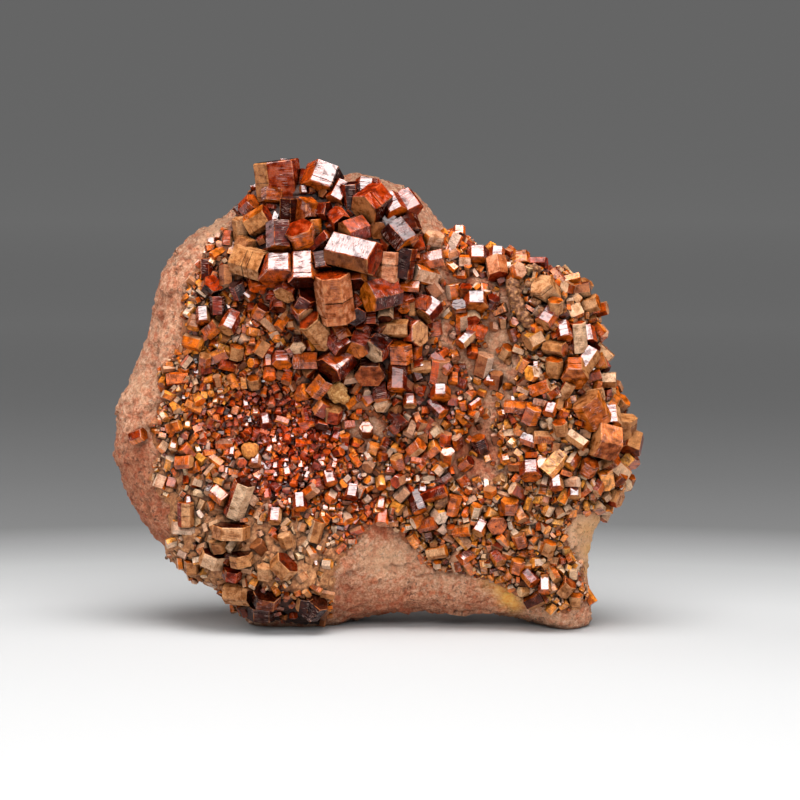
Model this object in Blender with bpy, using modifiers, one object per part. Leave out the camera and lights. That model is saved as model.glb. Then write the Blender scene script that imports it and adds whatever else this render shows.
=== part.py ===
"""Vanadinite specimen: hexagonal red-brown crystals grown on one side of a piece of pink-tan rock.

Metres, +Z up, +X to the viewer's right and -Y towards the viewer. The specimen stands on two feet of
rock at z = 0, with the origin below its middle. Places that are read off the photograph are given in
its pixels, as seen from a viewpoint in front of the specimen, and turned into metres by seen_at().
"""

import math

import bmesh
import bpy
import numpy as np
from mathutils import Matrix, Vector, noise
from mathutils.bvhtree import BVHTree

MM = 0.001

# Driving dimensions
SPECIMEN_WIDTH = 98.6 * MM
ROCK_MIDDLE_Y = 4.26 * MM
ROCK_FRONT = 12.0 * MM
RIM_HALF = 4.5 * MM
RIM_ROUND = 13.0 * MM
CRUST_THICKNESS = 1.2 * MM
CRUST_FAR_EDGE = 1.5 * MM
CRUST_RAGGED = 3.5 * MM
CRUST_RAGGED_SIZE = 7 * MM
CRUST_FOOT = 1.6 * MM
CONTACT_GAP = 0.3 * MM
LEAST_BURIED = 0.7 * MM
BURIED_SHARE = 0.45

# The rock's mesh: its slab before shaping, its faces' size, the share of them that is kept, and the
# size and height of its lumps and ledges
SLAB_HALF = 10 * MM
ROCK_GRAIN = 2.6 * MM
FACES_KEPT = 0.125
LUMP_SIZE = 11 * MM
LUMP_HEIGHT = 1.0 * MM
LEDGE_SIZE = 5 * MM
LEDGE_HEIGHT = 0.6 * MM

# The viewpoint from which the photograph's pixels are read
WIDTH_IN_PIXELS = 519
PIXEL = SPECIMEN_WIDTH / WIDTH_IN_PIXELS
VIEW_PIXEL = (400, 400)
VIEW_TARGET = Vector((5.10 * MM, ROCK_MIDDLE_Y, 42.8 * MM))
VIEW_DISTANCE = 0.8
VIEW_ELEVATION = math.radians(6)
LIGHT_FROM_LEFT = 0.35

# The edge of the rock, clockwise from the upper left, with both feet drawn on below the ground
ROCK_OUTLINE = [
    (246, 206), (258, 188), (278, 176), (300, 174), (325, 177), (346, 173), (368, 175), (390, 179),
    (408, 186), (424, 200), (437, 216), (450, 238), (478, 250), (508, 262), (540, 268), (566, 278),
    (584, 294), (593, 315), (593, 345), (600, 372), (610, 400), (621, 425), (619, 452), (621, 478),
    (608, 500), (597, 520), (587, 545), (585, 575), (590, 606), (594, 640), (560, 645), (538, 620),
    (505, 611), (462, 612), (425, 609), (385, 612), (352, 612), (334, 620), (330, 640), (248, 640),
    (244, 602), (222, 584), (190, 572), (166, 548), (144, 522), (123, 484), (112, 448), (118, 410),
    (132, 372), (149, 338), (154, 298), (160, 268), (180, 247), (206, 226),
]

# Rises and hollows of the rock's front: centre and radius in pixels, height in millimetres
FRONT_RELIEF = [
    (330, 275, 95, 5.5), (400, 245, 50, 2.0), (560, 300, 45, 3.0), (572, 400, 55, 4.0),
    (560, 470, 50, 3.5), (455, 300, 32, -2.5), (492, 350, 32, -3.5), (500, 430, 38, -3.0),
    (272, 560, 62, 4.0), (430, 590, 52, -3.5), (360, 590, 40, -2.0), (255, 430, 60, -1.5),
    (575, 600, 35, 3.0), (300, 600, 40, 3.0), (262, 636, 30, -10.0), (316, 636, 30, -10.0),
]

# The broken back: each face as pixel, depth behind the middle in millimetres, slope to the right
# and slope upwards
BACK_FACES = [
    (300, 300, 15.0, 0.05, -0.12), (470, 380, 15.5, -0.18, -0.05), (240, 480, 14.0, 0.30, 0.10),
    (420, 520, 14.5, -0.06, 0.24), (330, 210, 12.0, 0.10, -0.45), (560, 420, 12.5, -0.50, 0.05),
    (180, 400, 11.0, 0.55, 0.00), (560, 560, 12.5, -0.16, 0.12), (290, 600, 13.0, 0.10, 0.10),
]

# Steps in the back: a pixel on each one's edge, the edge's heading in the picture and the drop in
# millimetres on the left of that heading
BACK_LEDGES = [(330, 330, 15, 2.2), (430, 470, 115, 1.6), (250, 520, 205, 1.8), (520, 330, -40, 1.5)]
LEDGE_WIDTH = 2.5 * MM

# Where crystals cover the rock: the outer edge, then the bare gully and the bare window in it
CRUST_EDGE = [
    (236, 222), (250, 196), (258, 168), (294, 166), (318, 182), (345, 185), (374, 190), (392, 196),
    (406, 207), (414, 222), (426, 243), (450, 232), (490, 238), (530, 251), (562, 264), (590, 284),
    (598, 305), (598, 340), (610, 368), (630, 405), (637, 432), (632, 480), (612, 508), (578, 512),
    (564, 530), (566, 550), (580, 566), (586, 600), (566, 611), (530, 603), (500, 582), (470, 573),
    (430, 566), (412, 545), (392, 524), (372, 522), (352, 545), (336, 562), (331, 590), (330, 616),
    (320, 624), (300, 621), (272, 621), (256, 623), (246, 612), (234, 608), (221, 592), (190, 582),
    (165, 557), (172, 530), (170, 505), (150, 482), (160, 455), (152, 425), (165, 400), (158, 372),
    (184, 345), (183, 300), (198, 270), (208, 245),
]
BARE_GULLY = [
    (431, 264), (456, 272), (484, 274), (508, 286), (512, 312), (520, 338), (521, 370), (514, 398),
    (496, 420), (501, 448), (518, 482), (470, 484), (442, 478), (454, 440), (482, 412), (474, 385),
    (456, 358), (440, 344), (430, 326), (434, 298),
]
GULLY_CLUSTER_EDGE = [
    (457, 284), (480, 287), (499, 295), (499, 308), (480, 316), (477, 346), (455, 347), (450, 310),
]
BARE_WINDOW = [(350, 412), (384, 414), (392, 438), (366, 448), (346, 438)]

# Crystals grown together, read off the photograph: centre, width across the flats and length in
# pixels, then in degrees the heading in the picture of the end that shows (0 right, 90 up), how far
# the long axis leans away from the line of sight and how far one side is rolled from facing the
# viewer towards the light, which comes from above
UPPER_CLUSTER = [
    (278, 180, 42, 38, 95, 85, -20), (322, 182, 38, 28, -110, 60, 0),
    (339, 193, 17, 22, -118, 62, 0), (351, 195, 18, 24, 95, 75, 0), (365, 189, 18, 18, -100, 58, 0),
    (372, 204, 30, 28, -140, 50, 0), (392, 206, 20, 22, -60, 60, 0),
    (407, 204, 24, 26, -55, 65, 20), (378, 229, 18, 12, -90, 20, 0),
    (400, 236, 26, 26, -50, 70, 30), (338, 220, 19, 18, -50, 45, 0),
    (354, 230, 24, 24, -160, 60, 30), (354, 253, 32, 48, -15, 65, 35),
    (388, 266, 20, 30, 86, 80, 0), (279, 239, 30, 30, 95, 78, 5), (258, 222, 22, 24, 30, 75, 0),
    (250, 206, 17, 16, 45, 50, 0), (272, 197, 20, 14, -90, 75, 0), (289, 210, 17, 24, 90, 80, 30),
    (304, 210, 24, 14, 180, 50, 0), (321, 211, 17, 18, 0, 60, 20), (302, 236, 26, 22, 110, 50, 0),
    (320, 243, 14, 24, 40, 75, 20), (250, 262, 28, 34, -17, 65, 10), (278, 271, 34, 20, -90, 58, 0),
    (303, 270, 26, 30, -88, 60, 0), (320, 262, 20, 16, -80, 75, 0), (334, 297, 34, 48, 97, 70, -12),
    (355, 279, 22, 14, -85, 58, 0), (382, 294, 30, 32, -158, 58, 20),
    (287, 289, 20, 18, -115, 52, 0), (306, 300, 20, 16, 60, 50, 0), (318, 331, 22, 34, 130, 55, 0),
    (355, 314, 18, 16, -60, 30, 0), (430, 260, 16, 28, 12, 80, 30), (408, 286, 12, 24, -5, 80, 30),
]
LEFT_SLOPE = [
    (230, 322, 15, 22, -115, 58, 0), (217, 305, 13, 18, 90, 80, 0), (203, 316, 12, 16, -85, 58, 0),
    (212, 329, 14, 16, 40, 70, 10), (207, 268, 12, 19, 90, 85, 20), (212, 286, 18, 12, 90, 35, 0),
    (282, 360, 18, 12, -90, 57, 0), (306, 360, 16, 24, 0, 80, 20), (298, 344, 15, 12, -90, 40, 0),
    (184, 462, 12, 17, 5, 60, 20), (236, 352, 13, 14, 80, 60, 10), (260, 312, 14, 14, 60, 55, 0),
    (238, 290, 14, 16, 110, 60, 20), (254, 382, 12, 12, 100, 50, 0), (205, 360, 12, 12, 80, 50, 20),
    (266, 420, 11, 12, -80, 56, 0), (330, 478, 12, 14, -75, 58, 0),
]
MIDDLE = [
    (396, 328, 16, 26, 0, 76, -8), (416, 334, 24, 13, 0, 42, 0), (357, 346, 22, 20, -110, 45, 0),
    (376, 348, 26, 20, -150, 45, 0), (334, 337, 20, 34, -50, 70, 20),
    (336, 363, 30, 26, -135, 62, 0), (370, 372, 28, 16, -90, 35, 0), (397, 377, 17, 27, -92, 72, 0),
    (400, 352, 22, 20, 95, 65, 20), (422, 367, 11, 20, 5, 80, 10), (441, 364, 12, 24, -40, 75, 30),
    (381, 392, 14, 18, -85, 70, 0), (320, 386, 18, 22, 50, 70, 20), (410, 401, 12, 12, -90, 57, 0),
    (333, 414, 16, 16, 80, 45, 0), (398, 420, 12, 20, -45, 60, 20), (441, 394, 18, 12, -90, 57, 0),
    (437, 408, 12, 20, -45, 60, 10), (416, 448, 13, 16, 40, 55, 20),
    (352, 492, 12, 14, -100, 58, 0), (398, 462, 12, 14, 110, 50, 10),
]
RIGHT_RIDGE = [
    (477, 256, 20, 14, -90, 57, 0), (497, 254, 13, 12, -95, 57, 0), (496, 268, 20, 20, -80, 62, 20),
    (521, 260, 16, 14, -85, 57, 0), (538, 263, 12, 18, 0, 70, 35), (546, 290, 22, 22, 130, 50, 0),
    (555, 306, 14, 14, 90, 55, 10), (547, 318, 16, 18, -125, 60, 0), (564, 331, 14, 18, -80, 58, 0),
    (578, 337, 16, 30, 95, 75, 5), (555, 348, 14, 22, -10, 60, 0), (554, 367, 16, 18, 90, 60, 20),
    (575, 373, 26, 18, -90, 40, 0), (586, 361, 18, 24, -125, 60, 0), (603, 380, 15, 26, 0, 85, 20),
    (592, 396, 12, 24, 10, 70, 10), (566, 390, 12, 18, 60, 65, 10), (517, 407, 12, 24, -5, 75, 20),
    (531, 414, 16, 18, 70, 60, 20), (550, 410, 12, 12, -110, 58, 0),
    (592, 411, 28, 30, 120, 65, 10), (612, 417, 15, 20, -85, 58, 0),
    (602, 441, 34, 26, 165, 60, 30), (577, 440, 12, 22, -35, 70, 30),
    (531, 471, 20, 14, -88, 57, 0), (610, 462, 14, 16, 30, 60, 20), (588, 467, 16, 16, 60, 50, 0),
    (617, 478, 14, 18, 40, 60, 20), (597, 488, 12, 14, -120, 58, 0),
    (560, 428, 13, 14, 100, 55, 10), (556, 482, 12, 16, -85, 58, 0), (574, 490, 12, 17, -92, 60, 0),
    (530, 440, 12, 16, -20, 65, 20), (540, 388, 12, 20, 20, 70, 20), (583, 289, 14, 18, 60, 65, 0),
    (590, 304, 15, 18, 15, 70, 0), (588, 336, 15, 18, -80, 58, 0), (591, 351, 14, 14, 60, 55, 20),
    (602, 365, 12, 14, -60, 60, 0), (619, 405, 15, 18, 40, 65, 10), (625, 427, 20, 22, 85, 65, 0),
    (626, 481, 15, 14, 70, 60, 10), (613, 497, 17, 18, -20, 60, 10),
]
LOWER_LEFT = [
    (239, 499, 20, 38, 70, 68, 5), (220, 496, 14, 18, -40, 60, 20), (231, 531, 34, 13, 88, 80, -5),
    (186, 514, 14, 24, 90, 78, 0), (218, 546, 15, 12, 100, 70, 10), (212, 559, 22, 14, 70, 68, 10),
    (242, 559, 22, 12, 100, 72, -10), (232, 573, 18, 12, 80, 55, 0), (192, 566, 14, 14, 90, 60, 0),
    (284, 567, 24, 14, 45, 62, 0), (265, 572, 14, 14, 90, 60, 20), (300, 502, 12, 16, -85, 60, 0),
    (316, 531, 12, 22, 75, 75, 0), (275, 516, 12, 14, -95, 58, 0), (238, 594, 20, 26, -5, 70, 0),
    (267, 598, 26, 14, 80, 45, 0), (262, 612, 24, 14, 90, 70, 0), (304, 603, 14, 14, 80, 60, 0),
    (312, 606, 24, 20, 50, 55, 0), (286, 540, 13, 14, 110, 60, 10),
]
LOWER_RIGHT = [
    (417, 502, 14, 22, -70, 65, 20), (434, 494, 12, 26, 20, 75, 10), (453, 505, 12, 20, 75, 70, 10),
    (480, 528, 12, 14, -120, 58, 0), (497, 524, 18, 12, -90, 20, 0),
    (466, 556, 12, 17, -150, 60, 25), (437, 552, 12, 20, 10, 70, 0), (517, 566, 12, 14, 80, 60, 10),
    (530, 578, 12, 16, -50, 60, 10), (545, 586, 12, 14, -90, 58, 0), (548, 548, 12, 14, 70, 60, 10),
    (520, 540, 12, 14, 110, 60, 0), (498, 558, 12, 14, -60, 58, 0), (428, 524, 12, 20, 15, 70, 10),
    (462, 530, 12, 18, 5, 70, 0), (510, 505, 16, 14, 90, 50, 0), (566, 588, 13, 16, 50, 60, 10),
    (576, 601, 12, 14, 90, 60, 0),
]
GROWN_TOGETHER = UPPER_CLUSTER + LEFT_SLOPE + MIDDLE + RIGHT_RIDGE + LOWER_LEFT + LOWER_RIGHT

# Rounded granular lumps among the crystals: centre and radius in pixels. The last five run together
# into the arched lump at the top of the right ridge
KNOBS = [
    (338, 393, 12), (251, 453, 11), (534, 372, 6), (440, 504, 7),
    (522, 274, 7), (516, 288, 9), (522, 304, 9), (532, 320, 9), (540, 332, 7),
]

# The patch of crystals in the gully
GULLY_CLUSTER = [
    (476, 302, 22, 14, -90, 57, 0), (492, 302, 12, 12, 60, 50, 0), (466, 291, 11, 12, 90, 50, 0),
    (460, 309, 15, 14, 100, 40, 0), (472, 316, 14, 12, -80, 50, 0), (466, 338, 12, 20, -135, 60, 0),
]

# Crystals that stand alone on bare rock, in the same terms
STANDING_ALONE = {
    "gully_crystal_right": (506, 352, 12, 14, 60, 50, 10),
    "gully_crystal_middle": (490, 378, 12, 14, -100, 57, 0),
    "gully_crystal_low": (480, 444, 14, 16, 110, 55, 10),
    "gully_crystal_foot": (466, 464, 11, 14, 40, 55, 10),
    "window_crystal": (366, 430, 12, 12, 90, 30, 0),
    "left_margin_crystal": (138, 436, 13, 15, 20, 60, 20),
}


def seen_from():
    """The viewpoint and the picture's right, up and forward directions."""
    forward = Vector((0, math.cos(VIEW_ELEVATION), -math.sin(VIEW_ELEVATION)))
    right = Vector((1, 0, 0))
    up = right.cross(forward)
    return VIEW_TARGET - forward * VIEW_DISTANCE, right, up, forward


def sight_line(px, py):
    """The viewpoint and the direction of the line of sight through a pixel."""
    eye, right, up, forward = seen_from()
    across = (px - VIEW_PIXEL[0]) * PIXEL
    above = (VIEW_PIXEL[1] - py) * PIXEL
    return eye, (forward * VIEW_DISTANCE + right * across + up * above).normalized()


def seen_at(px, py, y):
    """The point that a pixel shows on the upright plane at y."""
    eye, direction = sight_line(px, py)
    return eye + direction * ((y - eye.y) / direction.y)


def add_object(name, data, collection):
    obj = bpy.data.objects.new(name, data)
    collection.objects.link(obj)
    return obj


def evaluated_mesh(obj):
    """A new mesh of the object as its modifiers leave it."""
    depsgraph = bpy.context.evaluated_depsgraph_get()
    depsgraph.update()
    return bpy.data.meshes.new_from_object(obj.evaluated_get(depsgraph))


def apply_modifiers(obj):
    mesh = evaluated_mesh(obj)
    obj.modifiers.clear()
    obj.data = mesh


def combine(obj, other, operation):
    """Join, cut or intersect an object with another one, which is then removed."""
    modifier = obj.modifiers.new("combine", "BOOLEAN")
    modifier.operation = operation
    modifier.solver = "EXACT"
    modifier.use_self = operation == "UNION"
    modifier.object = other
    apply_modifiers(obj)
    bpy.data.objects.remove(other)


def extruded_outline(name, loops, drawn_at, near_y, far_y, collection):
    """A solid from near_y to far_y with an outline that may have holes, drawn in pixels at drawn_at."""
    middle_y = (near_y + far_y) / 2
    curve = bpy.data.curves.new(name, "CURVE")
    curve.dimensions = "2D"
    curve.fill_mode = "BOTH"
    curve.extrude = (far_y - near_y) / 2
    for loop in loops:
        spline = curve.splines.new("POLY")
        spline.points.add(len(loop) - 1)
        spline.use_cyclic_u = True
        for point, (px, py) in zip(spline.points, loop):
            spot = seen_at(px, py, drawn_at)
            point.co = (spot.x, spot.z, 0, 1)
    drawn = add_object(name, curve, collection)
    drawn.rotation_euler.x = math.pi / 2
    drawn.location.y = middle_y
    bpy.context.view_layer.update()
    mesh = evaluated_mesh(drawn)
    mesh.transform(drawn.matrix_world)
    bpy.data.objects.remove(drawn)
    shell = bmesh.new()
    shell.from_mesh(mesh)
    bmesh.ops.remove_doubles(shell, verts=shell.verts, dist=0.01 * MM)
    bmesh.ops.recalc_face_normals(shell, faces=shell.faces)
    shell.to_mesh(mesh)
    shell.free()
    return add_object(name, mesh, collection)


def shape_cutter(mesh, drawn_at, far):
    """Tip a cutter that runs along Y so that it runs along the line of sight, with a ragged far end."""
    points = mesh_points(mesh)
    for row in points:
        if abs(row[1] - far) < 0.1 * MM:
            row[1] += CRUST_RAGGED * noise.noise(Vector(row) / CRUST_RAGGED_SIZE)
    points[:, 2] -= (points[:, 1] - drawn_at) * math.tan(VIEW_ELEVATION)
    set_mesh_points(mesh, points)


def distance_to_outline(x, z, outline):
    """How far each point (x, z) lies from the nearest edge of the outline."""
    nearest = np.full(len(x), np.inf)
    for start, end in zip(outline, outline[1:] + outline[:1]):
        edge_x = end[0] - start[0]
        edge_z = end[1] - start[1]
        along = ((x - start[0]) * edge_x + (z - start[1]) * edge_z) / (edge_x**2 + edge_z**2)
        along = np.clip(along, 0, 1)
        gap = np.hypot(x - start[0] - along * edge_x, z - start[1] - along * edge_z)
        nearest = np.minimum(nearest, gap)
    return nearest


def mesh_points(mesh):
    flat = np.empty(len(mesh.vertices) * 3)
    mesh.vertices.foreach_get("co", flat)
    return flat.reshape(-1, 3)


def set_mesh_points(mesh, points):
    mesh.vertices.foreach_set("co", points.ravel())
    mesh.update()


def remesh(obj, size):
    modifier = obj.modifiers.new("even faces", "REMESH")
    modifier.mode = "VOXEL"
    modifier.voxel_size = size
    apply_modifiers(obj)


def shape_rock(mesh):
    """Turn an even slab into the rock: thick in the middle, with a broken rim and its relief."""
    points = mesh_points(mesh)
    x, y, z = points.T
    edge = [seen_at(px, py, ROCK_MIDDLE_Y) for px, py in ROCK_OUTLINE]
    outline = [(spot.x, spot.z) for spot in edge]
    inward = np.clip(distance_to_outline(x, z, outline) / RIM_ROUND, 0, 1)
    swell = np.sqrt(1 - (1 - inward) ** 2)
    front = np.full(len(x), ROCK_FRONT)
    for px, py, radius, height in FRONT_RELIEF:
        spot = seen_at(px, py, ROCK_MIDDLE_Y - ROCK_FRONT)
        spread = np.hypot(x - spot.x, z - spot.z) / (radius * PIXEL)
        front += height * MM * np.exp(-(spread**2) * 1.4)
    back = np.full(len(x), np.inf)
    for px, py, depth, slope_right, slope_up in BACK_FACES:
        spot = seen_at(px, py, ROCK_MIDDLE_Y)
        face = depth * MM + slope_right * (x - spot.x) + slope_up * (z - spot.z)
        back = np.minimum(back, face)
    for px, py, heading, drop in BACK_LEDGES:
        spot = seen_at(px, py, ROCK_MIDDLE_Y)
        turn = math.radians(heading)
        beyond = (z - spot.z) * math.cos(turn) - (x - spot.x) * math.sin(turn)
        back -= drop * MM * np.clip(0.5 + beyond / LEDGE_WIDTH, 0, 1)
    front = RIM_HALF + (front - RIM_HALF) * swell
    back = RIM_HALF + np.maximum(back - RIM_HALF, 0) * swell
    share = np.clip((y - ROCK_MIDDLE_Y) / SLAB_HALF, -1, 1)
    points[:, 1] = ROCK_MIDDLE_Y + np.where(share < 0, share * front, share * back)
    set_mesh_points(mesh, points)


def roughen_rock(mesh, seed_shift):
    """Lumps and ledges: broad ones on the back and the rim, low ones under the crystals."""
    points = mesh_points(mesh)
    normals = np.array([tuple(vertex.normal) for vertex in mesh.vertices])
    for row, normal in zip(points, normals):
        place = Vector(row) + seed_shift
        lumps = noise.fractal(place / LUMP_SIZE, 0.9, 2.1, 3) * LUMP_HEIGHT
        ledge = noise.noise(place / LEDGE_SIZE) * LEDGE_HEIGHT
        facing_back = 0.5 + 0.5 * normal[1]
        row += normal * ((0.5 + 0.5 * facing_back) * lumps + (0.6 + 0.4 * facing_back) * ledge)
    set_mesh_points(mesh, points)


def make_rock(collection):
    near, far = ROCK_MIDDLE_Y - SLAB_HALF, ROCK_MIDDLE_Y + SLAB_HALF
    rock = extruded_outline("matrix", [ROCK_OUTLINE], ROCK_MIDDLE_Y, near, far, collection)
    remesh(rock, ROCK_GRAIN)
    shape_rock(rock.data)
    remesh(rock, ROCK_GRAIN)
    smooth = rock.modifiers.new("worn", "SMOOTH")
    smooth.iterations = 2
    apply_modifiers(rock)
    roughen_rock(rock.data, Vector((0.31, 0.12, 0.57)))
    fewer = rock.modifiers.new("fewer faces", "DECIMATE")
    fewer.ratio = FACES_KEPT
    fewer.use_collapse_triangulate = True
    apply_modifiers(rock)
    cut_below(rock, 0, collection)
    return rock


def cut_below(obj, height, collection):
    """Cut an object off flat at a height."""
    depth = 40 * MM
    bm = bmesh.new()
    bmesh.ops.create_cube(bm, size=1)
    bmesh.ops.scale(bm, vec=(0.3, 0.3, depth), verts=bm.verts)
    bmesh.ops.translate(bm, vec=(0, 0, height - depth / 2), verts=bm.verts)
    mesh = bpy.data.meshes.new("ground")
    bm.to_mesh(mesh)
    bm.free()
    combine(obj, add_object("ground", mesh, collection), "DIFFERENCE")


def grown_copy(obj, name, growth, collection):
    """A copy of a solid with its surface moved outwards."""
    mesh = obj.data.copy()
    bm = bmesh.new()
    bm.from_mesh(mesh)
    bm.normal_update()
    moves = [vertex.normal * growth * min(vertex.calc_shell_factor(), 1.6) for vertex in bm.verts]
    for vertex, move in zip(bm.verts, moves):
        vertex.co += move
    bm.to_mesh(mesh)
    bm.free()
    return add_object(name, mesh, collection)


def crystal_axis(heading, lean):
    """The direction of a crystal's long axis, from how it lies in the picture."""
    _, right, up, forward = seen_from()
    turn = math.radians(heading)
    tip = math.radians(lean)
    in_picture = right * math.cos(turn) + up * math.sin(turn)
    return in_picture * math.sin(tip) - forward * math.cos(tip)


def crystal_place(centre, axis, turn):
    """A crystal's place: z along its axis, x out of the side that is rolled towards the light."""
    _, right, up, forward = seen_from()
    light = up - right * LIGHT_FROM_LEFT
    towards = axis * forward.dot(axis) - forward
    across = axis.cross(towards)
    if across.dot(light) < 0:
        across = -across
    angle = math.radians(turn)
    side = (towards.normalized() * math.cos(angle) + across.normalized() * math.sin(angle)).normalized()
    return Matrix.Translation(centre) @ Matrix((side, axis.cross(side), axis)).transposed().to_4x4()


def add_prism(bm, surface, crystal):
    """One hexagonal prism, standing out of the surface that its pixel shows."""
    px, py, across_px, length_px, heading, lean, turn = crystal
    across = across_px * PIXEL
    length = length_px * PIXEL
    axis = crystal_axis(heading, lean)
    eye, direction = sight_line(px, py)
    hit = surface.ray_cast(eye, direction)[0]
    if hit is None:
        hit = surface.find_nearest(seen_at(px, py, ROCK_MIDDLE_Y))[0]
        hit = seen_at(px, py, hit.y)
    reach = length / 2 * abs(axis.dot(direction)) + across / 2 * abs(axis.cross(direction).length)
    buried = max(BURIED_SHARE * reach, LEAST_BURIED)
    bmesh.ops.create_cone(
        bm,
        cap_ends=True,
        segments=6,
        radius1=across / math.sqrt(3),
        radius2=across / math.sqrt(3),
        depth=length,
        matrix=crystal_place(hit - direction * (reach - buried), axis, turn),
    )


def add_knob(bm, surface, knob):
    """One rounded lump, half sunk in the surface that its pixel shows."""
    px, py, radius_px = knob
    radius = radius_px * PIXEL
    eye, direction = sight_line(px, py)
    centre = surface.ray_cast(eye, direction)[0] - direction * radius * 0.3
    place = Matrix.Translation(centre)
    bmesh.ops.create_icosphere(bm, subdivisions=1, radius=radius, matrix=place)


def prisms(name, surface, crystals, knobs, collection):
    bm = bmesh.new()
    for crystal in crystals:
        add_prism(bm, surface, crystal)
    for knob in knobs:
        add_knob(bm, surface, knob)
    mesh = bpy.data.meshes.new(name)
    bm.to_mesh(mesh)
    bm.free()
    return add_object(name, mesh, collection)


def keep_largest_body(mesh):
    """Remove the chips that a cut leaves beside the main body."""
    bm = bmesh.new()
    bm.from_mesh(mesh)
    unseen = set(bm.verts)
    bodies = []
    while unseen:
        body = {unseen.pop()}
        front = list(body)
        while front:
            vertex = front.pop()
            for edge in vertex.link_edges:
                other = edge.other_vert(vertex)
                if other not in body:
                    body.add(other)
                    front.append(other)
        unseen -= body
        bodies.append(body)
    bodies.sort(key=len)
    for body in bodies[:-1]:
        bmesh.ops.delete(bm, geom=list(body), context="VERTS")
    bm.to_mesh(mesh)
    bm.free()


def surface_of(obj):
    """The object's faces, ready to be met by lines of sight."""
    bm = bmesh.new()
    bm.from_mesh(obj.data)
    surface = BVHTree.FromBMesh(bm)
    bm.free()
    return surface


def make_crust(name, rock, edges, crystals, knobs, collection):
    """A skin over part of the rock with the crystals that stand out of it."""
    crust = grown_copy(rock, name, CRUST_THICKNESS, collection)
    surface = surface_of(crust)
    drawn_at = ROCK_MIDDLE_Y - ROCK_FRONT
    far = ROCK_MIDDLE_Y - CRUST_FAR_EDGE
    near = drawn_at - 2 * ROCK_FRONT
    covered = extruded_outline("covered", edges, drawn_at, near, far, collection)
    shape_cutter(covered.data, drawn_at, far)
    combine(crust, covered, "INTERSECT")
    combine(crust, prisms("grown together", surface, crystals, knobs, collection), "UNION")
    combine(crust, grown_copy(rock, "contact", CONTACT_GAP, collection), "DIFFERENCE")
    cut_below(crust, CRUST_FOOT, collection)
    keep_largest_body(crust.data)
    return crust


def make_single(name, rock, crystal, collection):
    single = prisms(name, surface_of(rock), [crystal], [], collection)
    combine(single, grown_copy(rock, "contact", CONTACT_GAP, collection), "DIFFERENCE")
    keep_largest_body(single.data)
    return single


def finish(obj, material_name, colour, roughness):
    material = bpy.data.materials.get(material_name)
    if material is None:
        material = bpy.data.materials.new(material_name)
        material.use_nodes = True
        shader = material.node_tree.nodes["Principled BSDF"]
        shader.inputs["Base Color"].default_value = (*colour, 1)
        shader.inputs["Roughness"].default_value = roughness
        shader.inputs["Metallic"].default_value = 0
    obj.data.materials.clear()
    obj.data.materials.append(material)


def main():
    for obj in list(bpy.data.objects):
        bpy.data.objects.remove(obj)
    specimen = bpy.data.collections.new("vanadinite specimen")
    bpy.context.scene.collection.children.link(specimen)

    rock = make_rock(specimen)
    finish(rock, "pink rock", (0.46, 0.24, 0.15), 0.85)
    edges = [CRUST_EDGE, BARE_GULLY, BARE_WINDOW]
    crust = make_crust("vanadinite_crust", rock, edges, GROWN_TOGETHER, KNOBS, specimen)
    finish(crust, "grown together vanadinite", (0.24, 0.05, 0.015), 0.25)
    cluster = make_crust("gully_cluster", rock, [GULLY_CLUSTER_EDGE], GULLY_CLUSTER, [], specimen)
    finish(cluster, "gully vanadinite", (0.30, 0.09, 0.03), 0.25)
    for name, crystal in STANDING_ALONE.items():
        single = make_single(name, rock, crystal, specimen)
        finish(single, name.replace("_", " "), (0.28, 0.08, 0.02), 0.25)


main()
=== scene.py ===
"""Looks of a vanadinite specimen: glassy red-brown hexagonal crystals grown over a pinkish rock.

Metres, +Z up, crystals facing -Y. Places read off the photograph are in its pixels (800 x 800) and are
turned into metres by lines of sight from the camera, as in the part itself.
"""

import math
import random
from functools import partial

import bmesh
import bpy
import numpy as np
from mathutils import Matrix, Vector, noise
from mathutils.bvhtree import BVHTree


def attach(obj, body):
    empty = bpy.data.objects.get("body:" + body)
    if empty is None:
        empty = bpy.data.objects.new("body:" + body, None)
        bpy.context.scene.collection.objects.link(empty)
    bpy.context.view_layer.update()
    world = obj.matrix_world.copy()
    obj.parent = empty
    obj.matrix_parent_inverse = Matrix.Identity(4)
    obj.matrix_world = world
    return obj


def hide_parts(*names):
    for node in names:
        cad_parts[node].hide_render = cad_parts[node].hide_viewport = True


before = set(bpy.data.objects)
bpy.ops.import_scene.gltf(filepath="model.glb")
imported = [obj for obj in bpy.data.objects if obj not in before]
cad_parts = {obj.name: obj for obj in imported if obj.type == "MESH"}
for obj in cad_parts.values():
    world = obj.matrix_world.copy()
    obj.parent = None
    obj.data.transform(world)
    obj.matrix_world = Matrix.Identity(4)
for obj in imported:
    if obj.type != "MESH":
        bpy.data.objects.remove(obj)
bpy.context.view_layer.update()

MM = 0.001

# Driving dimensions. A large crystal is sunk by a share of how far it reaches towards the rock
SPECIMEN_WIDTH = 98.6 * MM
ROCK_MIDDLE_Y = 4.26 * MM
CRUST_THICKNESS = 1.2 * MM
BURIED_SHARE = 0.45
LEAST_BURIED = 0.7 * MM
SEED = 7

# The camera, from which the photograph's pixels are read
WIDTH_IN_PIXELS = 519
PIXEL = SPECIMEN_WIDTH / WIDTH_IN_PIXELS
PICTURE = 800
VIEW_PIXEL = (400, 400)
VIEW_TARGET = Vector((5.10 * MM, ROCK_MIDDLE_Y, 42.8 * MM))
VIEW_DISTANCE = 0.8
VIEW_ELEVATION = math.radians(6)
SENSOR = 36.0

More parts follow.
